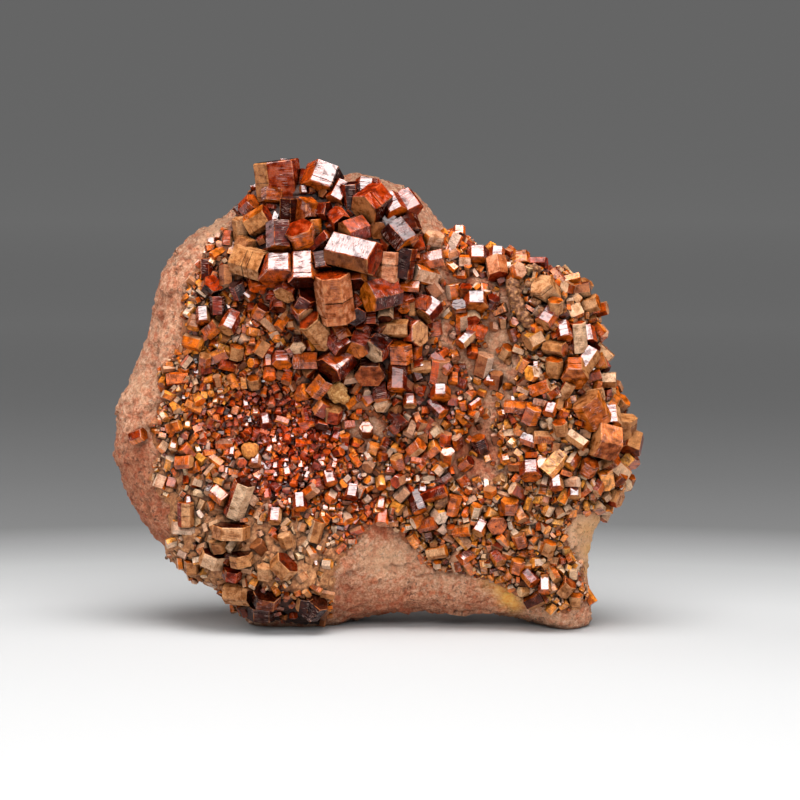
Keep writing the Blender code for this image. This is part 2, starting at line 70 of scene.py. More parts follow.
# Relief: how fine the meshes are, how wide each kind is, and how high it stands or how deep it goes in
# millimetres. It fades out at the foot, the druse's skin starts under the rock, and a lump's balls
# stand out of the ground by a share of their radius
ROCK_MESH = 0.5 * MM
ROCK_BREAKS, BREAK_HEIGHT = 4.5 * MM, 1.4
ROCK_CHIPS, CHIP_HEIGHT = 1.7 * MM, 0.9
ROCK_GRAINS, GRAIN_HEIGHT = 0.9 * MM, 0.16
ROCK_PITS, PIT_DEPTH = 1.6 * MM, 1.5
SMOOTH_FOOT = 1.0 * MM
SKIN_GRAINS, SKIN_GRAIN_HEIGHT = 1.1 * MM, 0.35
SKIN_CHIPS, SKIN_CHIP_HEIGHT = 1.4 * MM, 0.9
SKIN_OVER_CRUST = 0.2
SKIN_UNDER_ROCK = 0.5
SKIN_KEPT_FROM = -0.45
LUMP_MESH = 0.22 * MM
LUMP_RAISED_SHARE = 0.3
LUMP_GRAINS, LUMP_GRAIN_HEIGHT = 1.0 * MM, 0.22
LUMP_PITS, LUMP_PIT_DEPTH = 0.8 * MM, 0.8

# The druse's edge on the rock: how far it wavers and how far it slopes to each side, both in pixels
EDGE_WAVER, EDGE_PATCHES = 4, 1.6 * MM
EDGE_SLOPE = 6

# Prisms: how uneven their faces are, their growth grooves (where along the axis, how wide in millimetres,
# how deep, and how much the faces change after one), how far the large ones' corners are cut off, how
# many pixels of length bring one more groove, how many more come by chance, and how thin prisms are
# one way as a share of the other
UNEVEN_SHARE = 0.08
GROOVE_LEVELS = (-0.42, 0.46)
GROOVE_WIDTHS = (0.08, 0.26)
GROOVE_DEPTH_SHARE = 0.08
CHANGE_SHARE = 0.02
CORNER_CUT = 0.04
LARGE_GROOVE_EVERY = 20
LARGE_MORE_GROOVES = 1.3
LARGE_THIN = (0.82, 1)
SMALL_MOST_GROOVES = 1.35
SMALL_THIN = (0.68, 0.95)

# Small crystals: how many places are tried, how far apart they stand as a share of their widths, how
# closely they cover the gully, how small the ones that fill gaps are, how often one is lit on its side
# (more often where they are red) and how wide it is then, how long they are and how far they stand
# out, in their own widths
CRUST_TRIES, FILLING_TRIES, GULLY_TRIES = 60000, 70000, 60000
CRUST_SPACING, GULLY_SPACING = 0.36, 0.4
GULLY_COVER = 0.34
FILLING_SIZE = 0.5
LIT_SHARE, LIT_SHARE_IN_RED = 0.06, 0.75
LIT_WIDTH = 0.85
SMALL_LENGTHS = (0.75, 1.9)
SMALL_RISES = (0.05, 0.5)

# How small crystals stand, as means and spreads in degrees: a lit one's heading, lean and turn, and
# the lean and turn of any other, then the least and the most that the others lean
LIT_STANDS = ((-90, 24), (58, 6), (0, 6))
OTHERS_STAND = ((62, 13), (0, 16))
LEANS = (25, 86)

# How zones of small crystals blend, the cells in which neighbours are looked for, the lowest place for
# one and the pixel that parts the left mesh from the right one
ZONE_SOFTNESS, ZONE_SHARPNESS = 40, 1.6
SEARCH_CELL = 2.4 * MM
LOWEST_SMALL = 2 * MM
LEFT_HALF = 400

# Studio lights: name, place and aim in metres, width and height, radiance
LIGHTS = [
    ("softbox", (0.0, -0.165, 0.5), (0.0, -0.165, 0.0), (0.42, 0.29), 12.5),
    ("front card", (0.0, -0.8, 0.43), (0.0, 0.0, 0.05), (1.0, 0.6), 4.0),
    ("left card", (-0.5, 0.12, 0.22), (0.0, 0.0, 0.04), (0.25, 0.4), 3.2),
    ("right card", (0.55, -0.12, 0.2), (0.02, 0.0, 0.03), (0.25, 0.4), 3.4),
]
WORLD_GREY = 0.012

# The table top in metres: its radius, and the middle of the part whose colour is painted lighter
FLOOR_RADIUS = 12
FLOOR_PAINTED_LIGHT_MIDDLE = (0.0, -0.16, 0.0)

# Settings of shader nodes: mix two colours, darken the first by the second, multiply two values
MIX = {"output": 2, "data_type": "RGBA"}
DARKEN = {"output": 2, "data_type": "RGBA", "blend_type": "MULTIPLY"}
TIMES = {"operation": "MULTIPLY"}

# Where crystals cover the rock: the outer edge, then the bare gully and the bare window in it
CRUST_EDGE = [
    (236, 222), (250, 196), (258, 168), (294, 166), (318, 182), (345, 185), (374, 190), (392, 196),
    (406, 207), (414, 222), (426, 243), (450, 232), (490, 238), (530, 251), (562, 264), (590, 284),
    (598, 305), (598, 340), (610, 368), (630, 405), (637, 432), (632, 480), (612, 508), (578, 512),
    (564, 530), (566, 550), (580, 566), (586, 600), (566, 611), (530, 603), (500, 582), (470, 573),
    (430, 566), (412, 545), (392, 524), (372, 522), (352, 545), (336, 562), (331, 590), (330, 616),
    (320, 624), (300, 621), (272, 621), (256, 623), (246, 612), (234, 608), (221, 592), (190, 582),
    (165, 557), (172, 530), (170, 505), (150, 482), (160, 455), (152, 425), (165, 400), (158, 372),
    (184, 345), (183, 300), (198, 270), (208, 245),
]
BARE_GULLY = [
    (431, 264), (456, 272), (484, 274), (508, 286), (512, 312), (520, 338), (521, 370), (514, 398),
    (496, 420), (501, 448), (518, 482), (470, 484), (442, 478), (454, 440), (482, 412), (474, 385),
    (456, 358), (440, 344), (430, 326), (434, 298),
]
GULLY_CLUSTER_EDGE = [
    (457, 284), (480, 287), (499, 295), (499, 308), (480, 316), (477, 346), (455, 347), (450, 310),
]
BARE_WINDOW = [(350, 412), (384, 414), (392, 438), (366, 448), (346, 438)]

# Large crystals read off the photograph: centre, width across the flats and length in pixels, the
# heading in the picture of the end that shows (0 right, 90 up), how far the long axis leans away from
# the line of sight and how far one face is rolled towards the light, in degrees. The letters give the
# looks of the faces towards the light, of the other sides and of the end, as in LOOKS
UPPER_CLUSTER = [
    (278, 180, 43, 38, 97, 85, -12, "gsd"), (322, 182, 35, 26, -110, 60, 0, "wdo"),
    (339, 193, 17, 22, -118, 62, 0, "wdo"), (351, 195, 18, 24, 95, 75, 0, "rrr"),
    (365, 189, 18, 18, -100, 58, 0, "wro"), (372, 204, 30, 28, -140, 50, 0, "pdg"),
    (392, 206, 20, 22, -60, 60, 8, "wro"), (407, 204, 21, 23, -55, 65, 20, "qdp"),
    (378, 229, 18, 12, -90, 20, 0, "ddg"), (400, 236, 26, 26, -50, 70, 30, "roo"),
    (338, 220, 19, 18, -50, 45, 0, "ppd"), (354, 230, 24, 24, -160, 60, 30, "wrg"),
    (354, 253, 32, 48, -15, 65, 30, "wgr"), (388, 266, 20, 30, 86, 80, 0, "mmd"),
    (280, 237, 24, 28, -88, 67, -16, "rda"), (259, 221, 22, 24, 30, 70, 0, "atp"),
    (250, 206, 17, 16, 45, 50, 0, "pwo"), (272, 197, 20, 14, -90, 66, -18, "bba"),
    (289, 210, 17, 24, 90, 80, 30, "adr"), (305, 210, 24, 16, 180, 50, 0, "obb"),
    (321, 211, 17, 18, 0, 60, 20, "rrr"), (302, 236, 26, 22, 110, 50, 0, "bop"),
    (320, 243, 14, 24, 40, 75, 20, "rrw"), (250, 262, 28, 34, -17, 65, 10, "ttr"),
    (278, 271, 34, 20, -90, 58, 0, "woo"), (303, 270, 26, 30, -88, 60, 0, "wod"),
    (320, 262, 20, 16, -80, 75, 0, "rro"), (334, 297, 34, 48, 97, 70, 5, "gmw"),
    (355, 279, 22, 14, -85, 58, 0, "wod"), (381, 294, 30, 32, -165, 58, 25, "wra"),
    (287, 289, 20, 18, -115, 52, 0, "wrt"), (306, 300, 20, 16, 60, 50, 0, "rrr"),
    (318, 331, 22, 34, 130, 55, 0, "rtw"), (355, 314, 18, 16, -60, 30, 0, "rrr"),
    (430, 260, 16, 28, 12, 80, 30, "ood"), (408, 286, 12, 24, -5, 80, 30, "ood"),
]
LEFT_SLOPE = [
    (230, 322, 15, 22, -115, 58, 0, "wrt"), (217, 305, 13, 18, 90, 80, 0, "rrw"),
    (203, 316, 12, 16, -85, 58, 0, "wto"), (212, 329, 14, 16, 40, 70, 10, "oot"),
    (207, 268, 12, 19, 90, 85, 20, "oro"), (212, 286, 18, 12, 50, 35, 0, "pdp"),
    (282, 360, 18, 12, -90, 57, 0, "woo"), (306, 360, 16, 24, 0, 80, 20, "oob"),
    (298, 344, 15, 12, -90, 40, 0, "dbk"), (184, 462, 12, 17, 5, 60, 20, "oot"),
    (236, 352, 13, 14, 80, 60, 10, "oto"), (260, 312, 14, 14, 60, 55, 0, "ood"),
    (238, 290, 14, 16, 110, 60, 20, "rrd"), (254, 382, 12, 12, 100, 50, 0, "oto"),
    (205, 360, 12, 12, 80, 50, 20, "tot"), (266, 420, 11, 12, -80, 56, 0, "wrr"),
    (330, 478, 12, 14, -75, 58, 0, "wro"),
]
MIDDLE = [
    (396, 328, 16, 26, 0, 76, -8, "ttr"), (416, 334, 24, 13, 0, 42, 0, "wrt"),
    (358, 344, 22, 20, -110, 45, 0, "rra"), (376, 346, 26, 20, -130, 50, 0, "rpk"),
    (334, 337, 20, 34, -50, 70, 20, "rrd"), (336, 363, 30, 26, -135, 62, 14, "wrr"),
    (370, 372, 28, 16, -90, 35, 0, "dbb"), (397, 377, 17, 27, -92, 72, 0, "wro"),
    (400, 352, 22, 20, 95, 65, 20, "boo"), (422, 367, 11, 20, 5, 80, 10, "tto"),
    (441, 364, 12, 24, -40, 75, 30, "poo"), (381, 392, 14, 18, -85, 70, 0, "rro"),
    (320, 386, 18, 22, 50, 70, 20, "ood"), (410, 401, 12, 12, -90, 57, 0, "wot"),
    (333, 414, 16, 16, 80, 45, 0, "tpt"), (398, 420, 12, 20, -45, 60, 20, "rrr"),
    (441, 394, 18, 12, -90, 57, 0, "woo"), (437, 408, 12, 20, -45, 60, 10, "rro"),
    (416, 448, 13, 16, 40, 55, 20, "oto"), (352, 492, 12, 14, -100, 58, 0, "wrr"),
    (398, 462, 12, 14, 110, 50, 10, "tot"),
]
RIGHT_RIDGE = [
    (477, 256, 20, 14, -90, 57, 0, "wro"), (497, 254, 13, 12, -95, 57, 0, "wot"),
    (496, 268, 20, 20, -80, 62, 20, "mtp"), (521, 260, 16, 14, -85, 57, 0, "aoo"),
    (538, 263, 12, 18, 0, 70, 35, "prr"), (546, 290, 22, 22, 130, 50, 0, "ott"),
    (555, 306, 14, 14, 90, 55, 10, "tto"), (547, 318, 16, 18, -125, 60, 12, "qot"),
    (564, 331, 14, 18, -80, 58, 0, "wdo"), (578, 337, 16, 30, 95, 75, 5, "wkw"),
    (555, 348, 14, 22, -10, 60, 0, "tto"), (554, 367, 16, 18, 90, 60, 20, "tto"),
    (575, 373, 26, 18, -90, 40, 0, "otb"), (586, 361, 18, 24, -125, 60, 12, "wtk"),
    (603, 380, 15, 26, 0, 85, 20, "ktt"), (592, 396, 12, 24, 10, 70, 10, "ttt"),
    (566, 390, 12, 18, 60, 65, 10, "ptt"), (517, 407, 12, 24, -5, 75, 20, "oot"),
    (531, 414, 16, 18, 70, 60, 20, "roo"), (550, 410, 12, 12, -110, 58, 8, "woo"),
    (592, 411, 28, 30, 120, 65, 10, "tat"), (612, 417, 15, 20, -85, 58, 0, "wto"),
    (602, 441, 34, 26, 165, 60, 30, "abt"), (577, 440, 12, 22, -35, 70, 30, "kto"),
    (531, 471, 20, 14, -88, 57, 0, "wro"), (610, 462, 14, 16, 30, 60, 20, "tbo"),
    (588, 467, 16, 16, 60, 50, 0, "bob"), (617, 478, 14, 18, 40, 60, 20, "obo"),
    (597, 488, 12, 14, -120, 58, 12, "wot"), (560, 428, 13, 14, 100, 55, 10, "oto"),
    (556, 482, 12, 16, -85, 58, 0, "wto"), (574, 490, 12, 17, -92, 60, 0, "wtt"),
    (530, 440, 12, 16, -20, 65, 20, "woo"), (540, 388, 12, 20, 20, 70, 20, "oot"),
    (583, 289, 14, 18, 60, 65, 0, "ttt"), (590, 304, 15, 18, 15, 70, 0, "tto"),
    (588, 336, 15, 18, -80, 58, 0, "wrr"), (591, 351, 14, 14, 60, 55, 20, "tor"),
    (602, 365, 12, 14, -60, 60, 0, "prp"), (619, 405, 15, 18, 40, 65, 10, "oto"),
    (625, 427, 20, 22, 85, 65, 0, "btt"), (626, 481, 15, 14, 70, 60, 10, "pto"),
    (613, 497, 17, 18, -20, 60, 10, "tpt"),
]
LOWER_LEFT = [
    (239, 499, 20, 38, 70, 68, 5, "wkd"), (220, 496, 14, 18, -40, 60, 20, "oot"),
    (231, 531, 34, 13, 88, 80, -5, "ttd"), (186, 514, 14, 24, 90, 78, 0, "pto"),
    (218, 546, 15, 12, 100, 70, 10, "ttt"), (212, 559, 22, 14, 70, 68, 10, "tkd"),
    (242, 559, 22, 12, 100, 72, -10, "ttd"), (232, 573, 18, 12, 80, 55, 0, "bpr"),
    (192, 566, 14, 14, 90, 60, 0, "tto"), (284, 567, 24, 14, 45, 62, 0, "ttd"),
    (265, 572, 14, 14, 90, 60, 20, "ttt"), (300, 502, 12, 16, -85, 60, 0, "wro"),
    (316, 531, 12, 22, 75, 75, 0, "kto"), (275, 516, 12, 14, -95, 58, 0, "wtt"),
    # The crystals at the foot take the x look, which is painted shade
    (238, 594, 20, 26, -5, 70, 0, "ttd"), (267, 598, 26, 14, 80, 45, 0, "xbx"),
    (262, 612, 24, 14, 90, 70, 0, "xxx"), (304, 603, 14, 14, 80, 60, 0, "txx"),
    (312, 606, 24, 20, 50, 55, 0, "ddx"), (286, 540, 13, 14, 110, 60, 10, "ttt"),
]
LOWER_RIGHT = [
    (417, 502, 14, 22, -70, 65, 20, "rro"), (434, 494, 12, 26, 20, 75, 10, "roo"),
    (453, 505, 12, 20, 75, 70, 10, "oob"), (480, 528, 12, 14, -120, 58, 10, "wat"),
    (497, 524, 18, 12, -90, 20, 0, "bbo"), (466, 556, 12, 17, -150, 60, 25, "woo"),
    (437, 552, 12, 20, 10, 70, 0, "ata"), (517, 566, 12, 14, 80, 60, 10, "aoa"),
    (530, 578, 12, 16, -50, 60, 10, "rao"), (545, 586, 12, 14, -90, 58, 0, "wto"),
    (548, 548, 12, 14, 70, 60, 10, "ato"), (520, 540, 12, 14, 110, 60, 0, "tot"),
    (498, 558, 12, 14, -60, 58, 0, "wat"), (428, 524, 12, 20, 15, 70, 10, "oob"),
    (462, 530, 12, 18, 5, 70, 0, "tot"), (510, 505, 16, 14, 90, 50, 0, "aoa"),
    (566, 588, 13, 16, 50, 60, 10, "otb"), (576, 601, 12, 14, 90, 60, 0, "tto"),
]
# Crystals on bare rock, which the part has as pieces of their own
GULLY_CLUSTER = [
    (476, 302, 22, 14, -90, 57, 0, "wbb"), (492, 302, 12, 12, 60, 50, 0, "rrr"),
    (466, 291, 11, 12, 90, 50, 0, "bbp"), (460, 309, 15, 14, 100, 40, 0, "bbr"),
    (472, 316, 14, 12, -80, 50, 0, "ktp"), (466, 338, 12, 20, -135, 60, 14, "wto"),
]
STANDING_ALONE = {
    "gully_crystal_right": (506, 352, 12, 14, 60, 50, 10, "oto"),
    "gully_crystal_middle": (490, 378, 12, 14, -100, 57, 0, "woo"),
    "gully_crystal_low": (480, 444, 14, 16, 110, 55, 10, "rro"),
    "gully_crystal_foot": (466, 464, 11, 14, 40, 55, 10, "bor"),
    "window_crystal": (366, 430, 12, 12, 90, 30, 0, "bbo"),
    "left_margin_crystal": (138, 436, 13, 15, 20, 60, 20, "wob"),
}
# Smaller crystals between the large ones, which the part's solids leave out
BETWEEN = [
    (285, 170, 14, 17, -90, 55, 0, "wop"), (405, 195, 9, 10, -60, 57, 0, "wpp"),
    (375, 185, 10, 10, -90, 50, 0, "wpp"),
    (410, 225, 17, 17, -70, 70, 0, "ddd"), (404, 262, 20, 30, 80, 80, 0, "ddd"),
    (315, 231, 12, 24, 95, 80, 0, "aao"), (242, 229, 16, 22, 95, 70, 0, "ttt"),
    (246, 245, 16, 16, -30, 50, 0, "ttt"), (278, 305, 14, 12, -90, 58, 0, "wod"),
    (251, 308, 8, 8, -90, 57, 0, "woo"), (302, 311, 16, 16, -50, 50, 0, "ort"),
    (371, 318, 14, 16, -90, 70, 0, "pdd"), (385, 312, 14, 16, -90, 60, 0, "kkd"),
    (404, 306, 10, 12, -90, 50, 0, "ooo"), (412, 308, 8, 15, 90, 80, 0, "ttt"),
    (429, 310, 18, 20, -130, 60, 12, "wrg"), (406, 350, 9, 20, 70, 70, 0, "ooo"),
    (337, 326, 15, 32, -62, 75, 0, "bbb"), (343, 323, 8, 8, -90, 57, 0, "wob"),
    (303, 180, 12, 20, -100, 72, 0, "prp"), (311, 203, 6, 12, -35, 60, 0, "wpw"),
    (255, 461, 11, 11, -95, 57, 0, "wmm"),
]

# Iron stain on the bare rock, and painted shade along its lower edge and low on the left: centre and
# radius in pixels, strength, or below 0 how much lighter the rock is, as painted light
STAIN_AND_PAINTED_LIGHT = [
    (350, 602, 22, 0.6), (398, 610, 30, 0.7), (445, 608, 22, 0.4), (480, 606, 14, 0.5),
    (384, 530, 14, 1.0), (132, 455, 30, 0.6), (140, 505, 36, 0.6), (168, 550, 34, 0.6),
    (470, 300, 40, 0.4), (470, 450, 34, 0.9), (385, 558, 26, -0.7), (440, 575, 20, -0.4),
    (582, 528, 22, -1.3), (592, 560, 16, -1.0), (550, 614, 16, -0.5), (215, 228, 16, -0.7),
    (138, 385, 14, -0.4), (495, 345, 26, -0.5), (172, 300, 30, 0.3),
]
# Yellow ochre on the rock: centre and radius in pixels, strength
OCHRE = [
    (500, 590, 8, 0.8), (508, 598, 9, 1.3), (515, 605, 8, 1.0), (490, 582, 10, 0.4), (590, 550, 9, 0.6),
    (583, 570, 8, 0.5), (588, 530, 12, 0.4), (598, 522, 10, 0.35),
]

# The looks of crystal faces: how light the body is, how red and how thick its coat of
# dust, from 0 to 1, or just below 0 for the darkest; x is painted shade for the crystals at the foot
LOOKS = {
    "w": (0.30, 0.5, 0.0), "r": (0.08, 0.8, 0.2), "d": (-0.05, 0.5, 0.25), "o": (0.52, 0.3, 0.1),
    "b": (0.34, 0.1, 0.35), "p": (0.28, 0.7, 0.35), "t": (0.5, 0.15, 0.68), "g": (0.28, 0.1, 0.7),
    "k": (0.8, 0.2, 0.75), "a": (0.6, 0.12, 0.3), "s": (0.25, 0.6, 0.38), "x": (-0.05, 0.4, 0.35),
    "m": (0.56, 0.5, 0.6), "q": (0.3, 0.6, 0.13),
}

# How the small crystals vary over the specimen: a pixel, then around it their width in pixels, how
# red they are, how dusty and how closely they cover the ground, from 0 to 1
# Where the crystals are wide, painted shade darkens the gaps between them
SMALL_ZONES = [
    (300, 200, 13, 0.45, 0.20, 0.35), (370, 215, 13, 0.40, 0.30, 0.35),
    (270, 240, 12, 0.40, 0.30, 0.35), (330, 300, 12, 0.45, 0.30, 0.35),
    (205, 290, 9, 0.35, 0.45, 0.60), (210, 340, 9, 0.35, 0.45, 0.70),
    (190, 375, 7, 0.32, 0.35, 0.85), (225, 380, 6.2, 0.40, 0.22, 0.98),
    (215, 430, 5.5, 0.70, 0.20, 1.00), (260, 420, 5.2, 0.95, 0.10, 1.00),
    (300, 430, 5.6, 0.95, 0.10, 1.00), (275, 480, 6, 0.90, 0.15, 1.00),
    (330, 460, 6.5, 0.80, 0.20, 0.95), (350, 505, 7.5, 0.65, 0.35, 0.90),
    (180, 460, 7, 0.30, 0.60, 0.55), (185, 515, 7, 0.25, 0.80, 0.40),
    (235, 520, 7, 0.25, 0.75, 0.32), (300, 540, 7, 0.30, 0.80, 0.38),
    (215, 560, 8, 0.25, 0.80, 0.28), (260, 570, 7, 0.25, 0.85, 0.26),
    # The zones at 262, 608 and 296, 612, at the foot, are wide and dark, which is painted shade on the
    # ground and small crystals there
    (310, 580, 7, 0.25, 0.85, 0.26), (262, 608, 12.5, 0.10, 0.0, 0.16),
    (296, 612, 12.5, 0.10, 0.0, 0.16),
    (380, 340, 12, 0.40, 0.35, 0.40), (320, 380, 11, 0.45, 0.40, 0.55),
    (370, 395, 10, 0.40, 0.45, 0.65), (430, 390, 11, 0.50, 0.35, 0.50),
    (420, 440, 9.5, 0.45, 0.40, 0.65), (390, 480, 8.5, 0.45, 0.50, 0.70),
    (440, 510, 8, 0.30, 0.50, 0.85), (480, 540, 7, 0.26, 0.42, 0.90),
    (530, 560, 7, 0.26, 0.42, 0.90), (570, 595, 7.5, 0.30, 0.42, 0.80),
    (530, 510, 8.5, 0.25, 0.5, 0.80), (480, 258, 9, 0.55, 0.35, 0.65),
    (540, 275, 9.5, 0.20, 0.55, 0.40), (565, 320, 10.5, 0.18, 0.5, 0.50),
    (535, 350, 9, 0.25, 0.55, 0.55), (580, 370, 10.5, 0.18, 0.5, 0.50),
    (530, 400, 9, 0.35, 0.40, 0.70), (560, 430, 9, 0.25, 0.45, 0.70),
    (605, 440, 11, 0.18, 0.5, 0.55), (560, 475, 9, 0.25, 0.45, 0.80),
    (605, 485, 9, 0.20, 0.50, 0.65), (475, 310, 8, 0.45, 0.45, 0.45),
]

# Rounded granular lumps among the crystals: centre and radius in pixels, and how far each stands out
# in millimetres. The last ones run together into the arched lump at the top of the right ridge
BUTTON = [(250, 451, 8.5, 0.3), (247, 449, 6, 0.9), (254, 448, 5, 0.8)]
GRANULAR_KNOB = [(338, 393, 10, 0.8), (331, 389, 6, 1.0), (344, 398, 6, 1.2), (340, 386, 5, 1.4)]
TAN_BALLS = [(534, 372, 5.5, 0.8), (541, 378, 4, 0.4), (440, 504, 6, 0.5), (446, 500, 4, 0.6)]
ARCHED_LUMP = [
    (522, 271, 6, 0.4), (516, 277, 7, 0.1), (513, 285, 7.5, 0), (514, 293, 7, -0.2), (516, 301, 7.5, -0.2),
    (519, 308, 6.5, -0.1), (523, 315, 7, -0.2), (528, 322, 6, 0), (533, 329, 5, 0), (529, 269, 5, 0.5),
    (536, 270, 4.5, 0.6), (528, 284, 3.5, 1.4), (532, 293, 3.5, 1.4), (536, 302, 4, 0.5),
    (541, 311, 4, 0.8), (509, 289, 3, 0.8), (513, 298, 3, 1.0), (517, 284, 3, 1.2), (521, 306, 3, 1.0),
]


def seen_from():
    """The camera's place and the picture's right, up and forward directions."""
    forward = Vector((0, math.cos(VIEW_ELEVATION), -math.sin(VIEW_ELEVATION)))
    right = Vector((1, 0, 0))
    up = right.cross(forward)
    return VIEW_TARGET - forward * VIEW_DISTANCE, right, up, forward


def sight_line(px, py):
    """Where the camera is, and the direction in which it sees a pixel."""
    eye, right, up, forward = seen_from()
    across = (px - VIEW_PIXEL[0]) * PIXEL
    above = (VIEW_PIXEL[1] - py) * PIXEL
    return eye, (forward * VIEW_DISTANCE + right * across + up * above).normalized()


def seen_at(px, py, y):
    """The point that a pixel shows on the upright plane at y."""
    eye, direction = sight_line(px, py)
    return eye + direction * ((y - eye.y) / direction.y)


def pixels_of(points):
    """The pixel at which each point is seen."""
    eye, right, up, forward = (np.array(v) for v in seen_from())
    away = np.asarray(points) - eye
    depth = away @ forward
    px = VIEW_PIXEL[0] + away @ right / depth * VIEW_DISTANCE / PIXEL
    py = VIEW_PIXEL[1] - away @ up / depth * VIEW_DISTANCE / PIXEL
    return px, py


def inside_loop(px, py, loop):
    """Which pixels lie inside a closed loop."""
    inside = np.zeros(len(px), bool)
    for (x0, y0), (x1, y1) in zip(loop, loop[1:] + loop[:1]):
        crosses = (y0 > py) != (y1 > py)
        level = np.where(crosses, (py - y0) / ((y1 - y0) or 1), 0)
        inside ^= crosses & (px < x0 + level * (x1 - x0))
    return inside


def distance_to_loop(px, py, loop):
    """How far each pixel lies from a closed loop, in pixels."""
    nearest = np.full(len(px), np.inf)
    for (x0, y0), (x1, y1) in zip(loop, loop[1:] + loop[:1]):
        edge = (x1 - x0, y1 - y0)
        along = ((px - x0) * edge[0] + (py - y0) * edge[1]) / (edge[0] ** 2 + edge[1] ** 2)
        along = np.clip(along, 0, 1)
        gap = np.hypot(px - x0 - along * edge[0], py - y0 - along * edge[1])
        nearest = np.minimum(nearest, gap)
    return nearest


def crusted(points):
    """How far inside the crystal crust each point lies, in pixels of the picture, or outside if below 0."""
    px, py = pixels_of(points)
    depth = np.full(len(px), np.inf)
    covered = inside_loop(px, py, CRUST_EDGE)
    for bare in (BARE_GULLY, BARE_WINDOW):
        covered &= ~inside_loop(px, py, bare)
    for loop in (CRUST_EDGE, BARE_GULLY, BARE_WINDOW):
        depth = np.minimum(depth, distance_to_loop(px, py, loop))
    cluster = inside_loop(px, py, GULLY_CLUSTER_EDGE)
    depth = np.where(cluster, np.minimum(depth, distance_to_loop(px, py, GULLY_CLUSTER_EDGE)), depth)
    return np.where(covered | cluster, depth, -depth)


def zones_of(px, py):
    """Width in pixels, redness, dust and cover of the small crystals around each pixel."""
    total = np.zeros(len(px))
    values = np.zeros((4, len(px)))
    for zone in SMALL_ZONES:
        squared = (px - zone[0]) ** 2 + (py - zone[1]) ** 2
        weight = 1 / (squared + ZONE_SOFTNESS) ** ZONE_SHARPNESS
        total += weight
        values += weight * np.array(zone[2:])[:, None]
    return values / total


def zone_of_ochre(points):
    """Where the rock is stained yellow: at the foot of the right lump and in the notch above it."""
    px, py = pixels_of(points)
    ochre = np.zeros(len(px))
    for x, y, radius, strength in OCHRE:
        ochre = np.maximum(ochre, strength * np.exp(-((px - x) ** 2 + (py - y) ** 2) / radius**2))
    return ochre * (points[:, 1] < ROCK_MIDDLE_Y)


def stain_and_painted_light(points):
    """How much the rock is browned: by iron in the gully, by painted shade along the lower edge and low on
    the left; below 0, how much painted light lightens it.
    """
    px, py = pixels_of(points)
    stain = np.zeros(len(px))
    for x, y, radius, strength in STAIN_AND_PAINTED_LIGHT:
        stain += strength * np.exp(-((px - x) ** 2 + (py - y) ** 2) / radius**2)
    return stain


def link_into_scene(name, data):
    """A new object with its data, in the scene."""
    obj = bpy.data.objects.new(name, data)
    bpy.context.scene.collection.objects.link(obj)
    return obj


def clean_copy(obj):
    """The CAD solid with its split corners joined again."""
    mesh = obj.data.copy()
    bm = bmesh.new()
    bm.from_mesh(mesh)
    bmesh.ops.remove_doubles(bm, verts=bm.verts, dist=0.001 * MM)
    bm.to_mesh(mesh)
    bm.free()
    return bpy.data.objects.new("solid", mesh)


def apply_modifiers(obj):
    """Turn an object's modifiers into its mesh."""
    depsgraph = bpy.context.evaluated_depsgraph_get()
    depsgraph.update()
    mesh = bpy.data.meshes.new_from_object(obj.evaluated_get(depsgraph))
    obj.modifiers.clear()
    obj.data = mesh


def remesh(obj, size):
    """Give an object an evenly fine mesh."""
    even = obj.modifiers.new("even", "REMESH")
    even.mode = "VOXEL"
    even.voxel_size = size
    apply_modifiers(obj)


def fine_mesh(obj, name, size):
    """An evenly fine copy of a CAD solid, smoothed so that its facets are gone."""
    mesh = obj.data.copy()
    mesh.transform(obj.matrix_world)
    copy = link_into_scene(name, mesh)
    subdivide = copy.modifiers.new("round", "SUBSURF")
    subdivide.levels = subdivide.render_levels = 2
    remesh(copy, size)
    return copy


def mesh_values(mesh, name):
    """The vertices' co or normal as rows of three."""
    flat = np.empty(len(mesh.vertices) * 3, np.float32)
    mesh.vertices.foreach_get(name, flat)
    return flat.reshape(-1, 3).astype(float)


def set_mesh_points(mesh, points):
    mesh.vertices.foreach_set("co", np.ascontiguousarray(points, np.float32).ravel())
    mesh.update()


def paint(mesh, name, values):
    """Keep one value for each vertex on a mesh."""
    attribute = mesh.attributes.new(name, "FLOAT", "POINT")
    attribute.data.foreach_set("value", np.asarray(values, np.float32))


def give_material(obj, material):
    """Make a material the only one of an object."""
    obj.data.materials.clear()
    obj.data.materials.append(material)


def field(points, size, octaves, shift=0.0):
    """Fractal noise of a given size, one value for each point."""
    offset = Vector((shift, shift * 0.7, -shift))
    return np.array([noise.fractal(Vector(p) / size + offset, 0.8, 2.1, octaves) for p in points])


def chipped(points, size, shift):
    """Height of a broken surface: cells of a given size, each a small plane tipped its own way."""
    heights = []
    for point in points:
        place = Vector(point) / size + Vector((shift, shift, shift))
        centre = noise.voronoi(place)[1][0]
        heights.append((place - centre).dot(noise.noise_vector(centre * 7.3)))
    return np.array(heights)


def grown_surface(obj, growth):
    """The surface that large crystals stand on: the CAD rock moved outwards."""
    bm = bmesh.new()
    bm.from_mesh(obj.data)
    bm.transform(obj.matrix_world)
    bm.normal_update()
    moves = [vertex.normal * growth * min(vertex.calc_shell_factor(), 1.6) for vertex in bm.verts]
    for vertex, move in zip(bm.verts, moves):
        vertex.co += move
    surface = BVHTree.FromBMesh(bm)
    bm.free()
    return surface


def shown_surface(*objects):
    """Several objects as one surface to cast rays on."""
    points, faces = [], []
    for obj in objects:
        start = len(points)
        points += [vertex.co.copy() for vertex in obj.data.vertices]
        faces += [[start + corner for corner in face.vertices] for face in obj.data.polygons]
    return BVHTree.FromPolygons(points, faces)


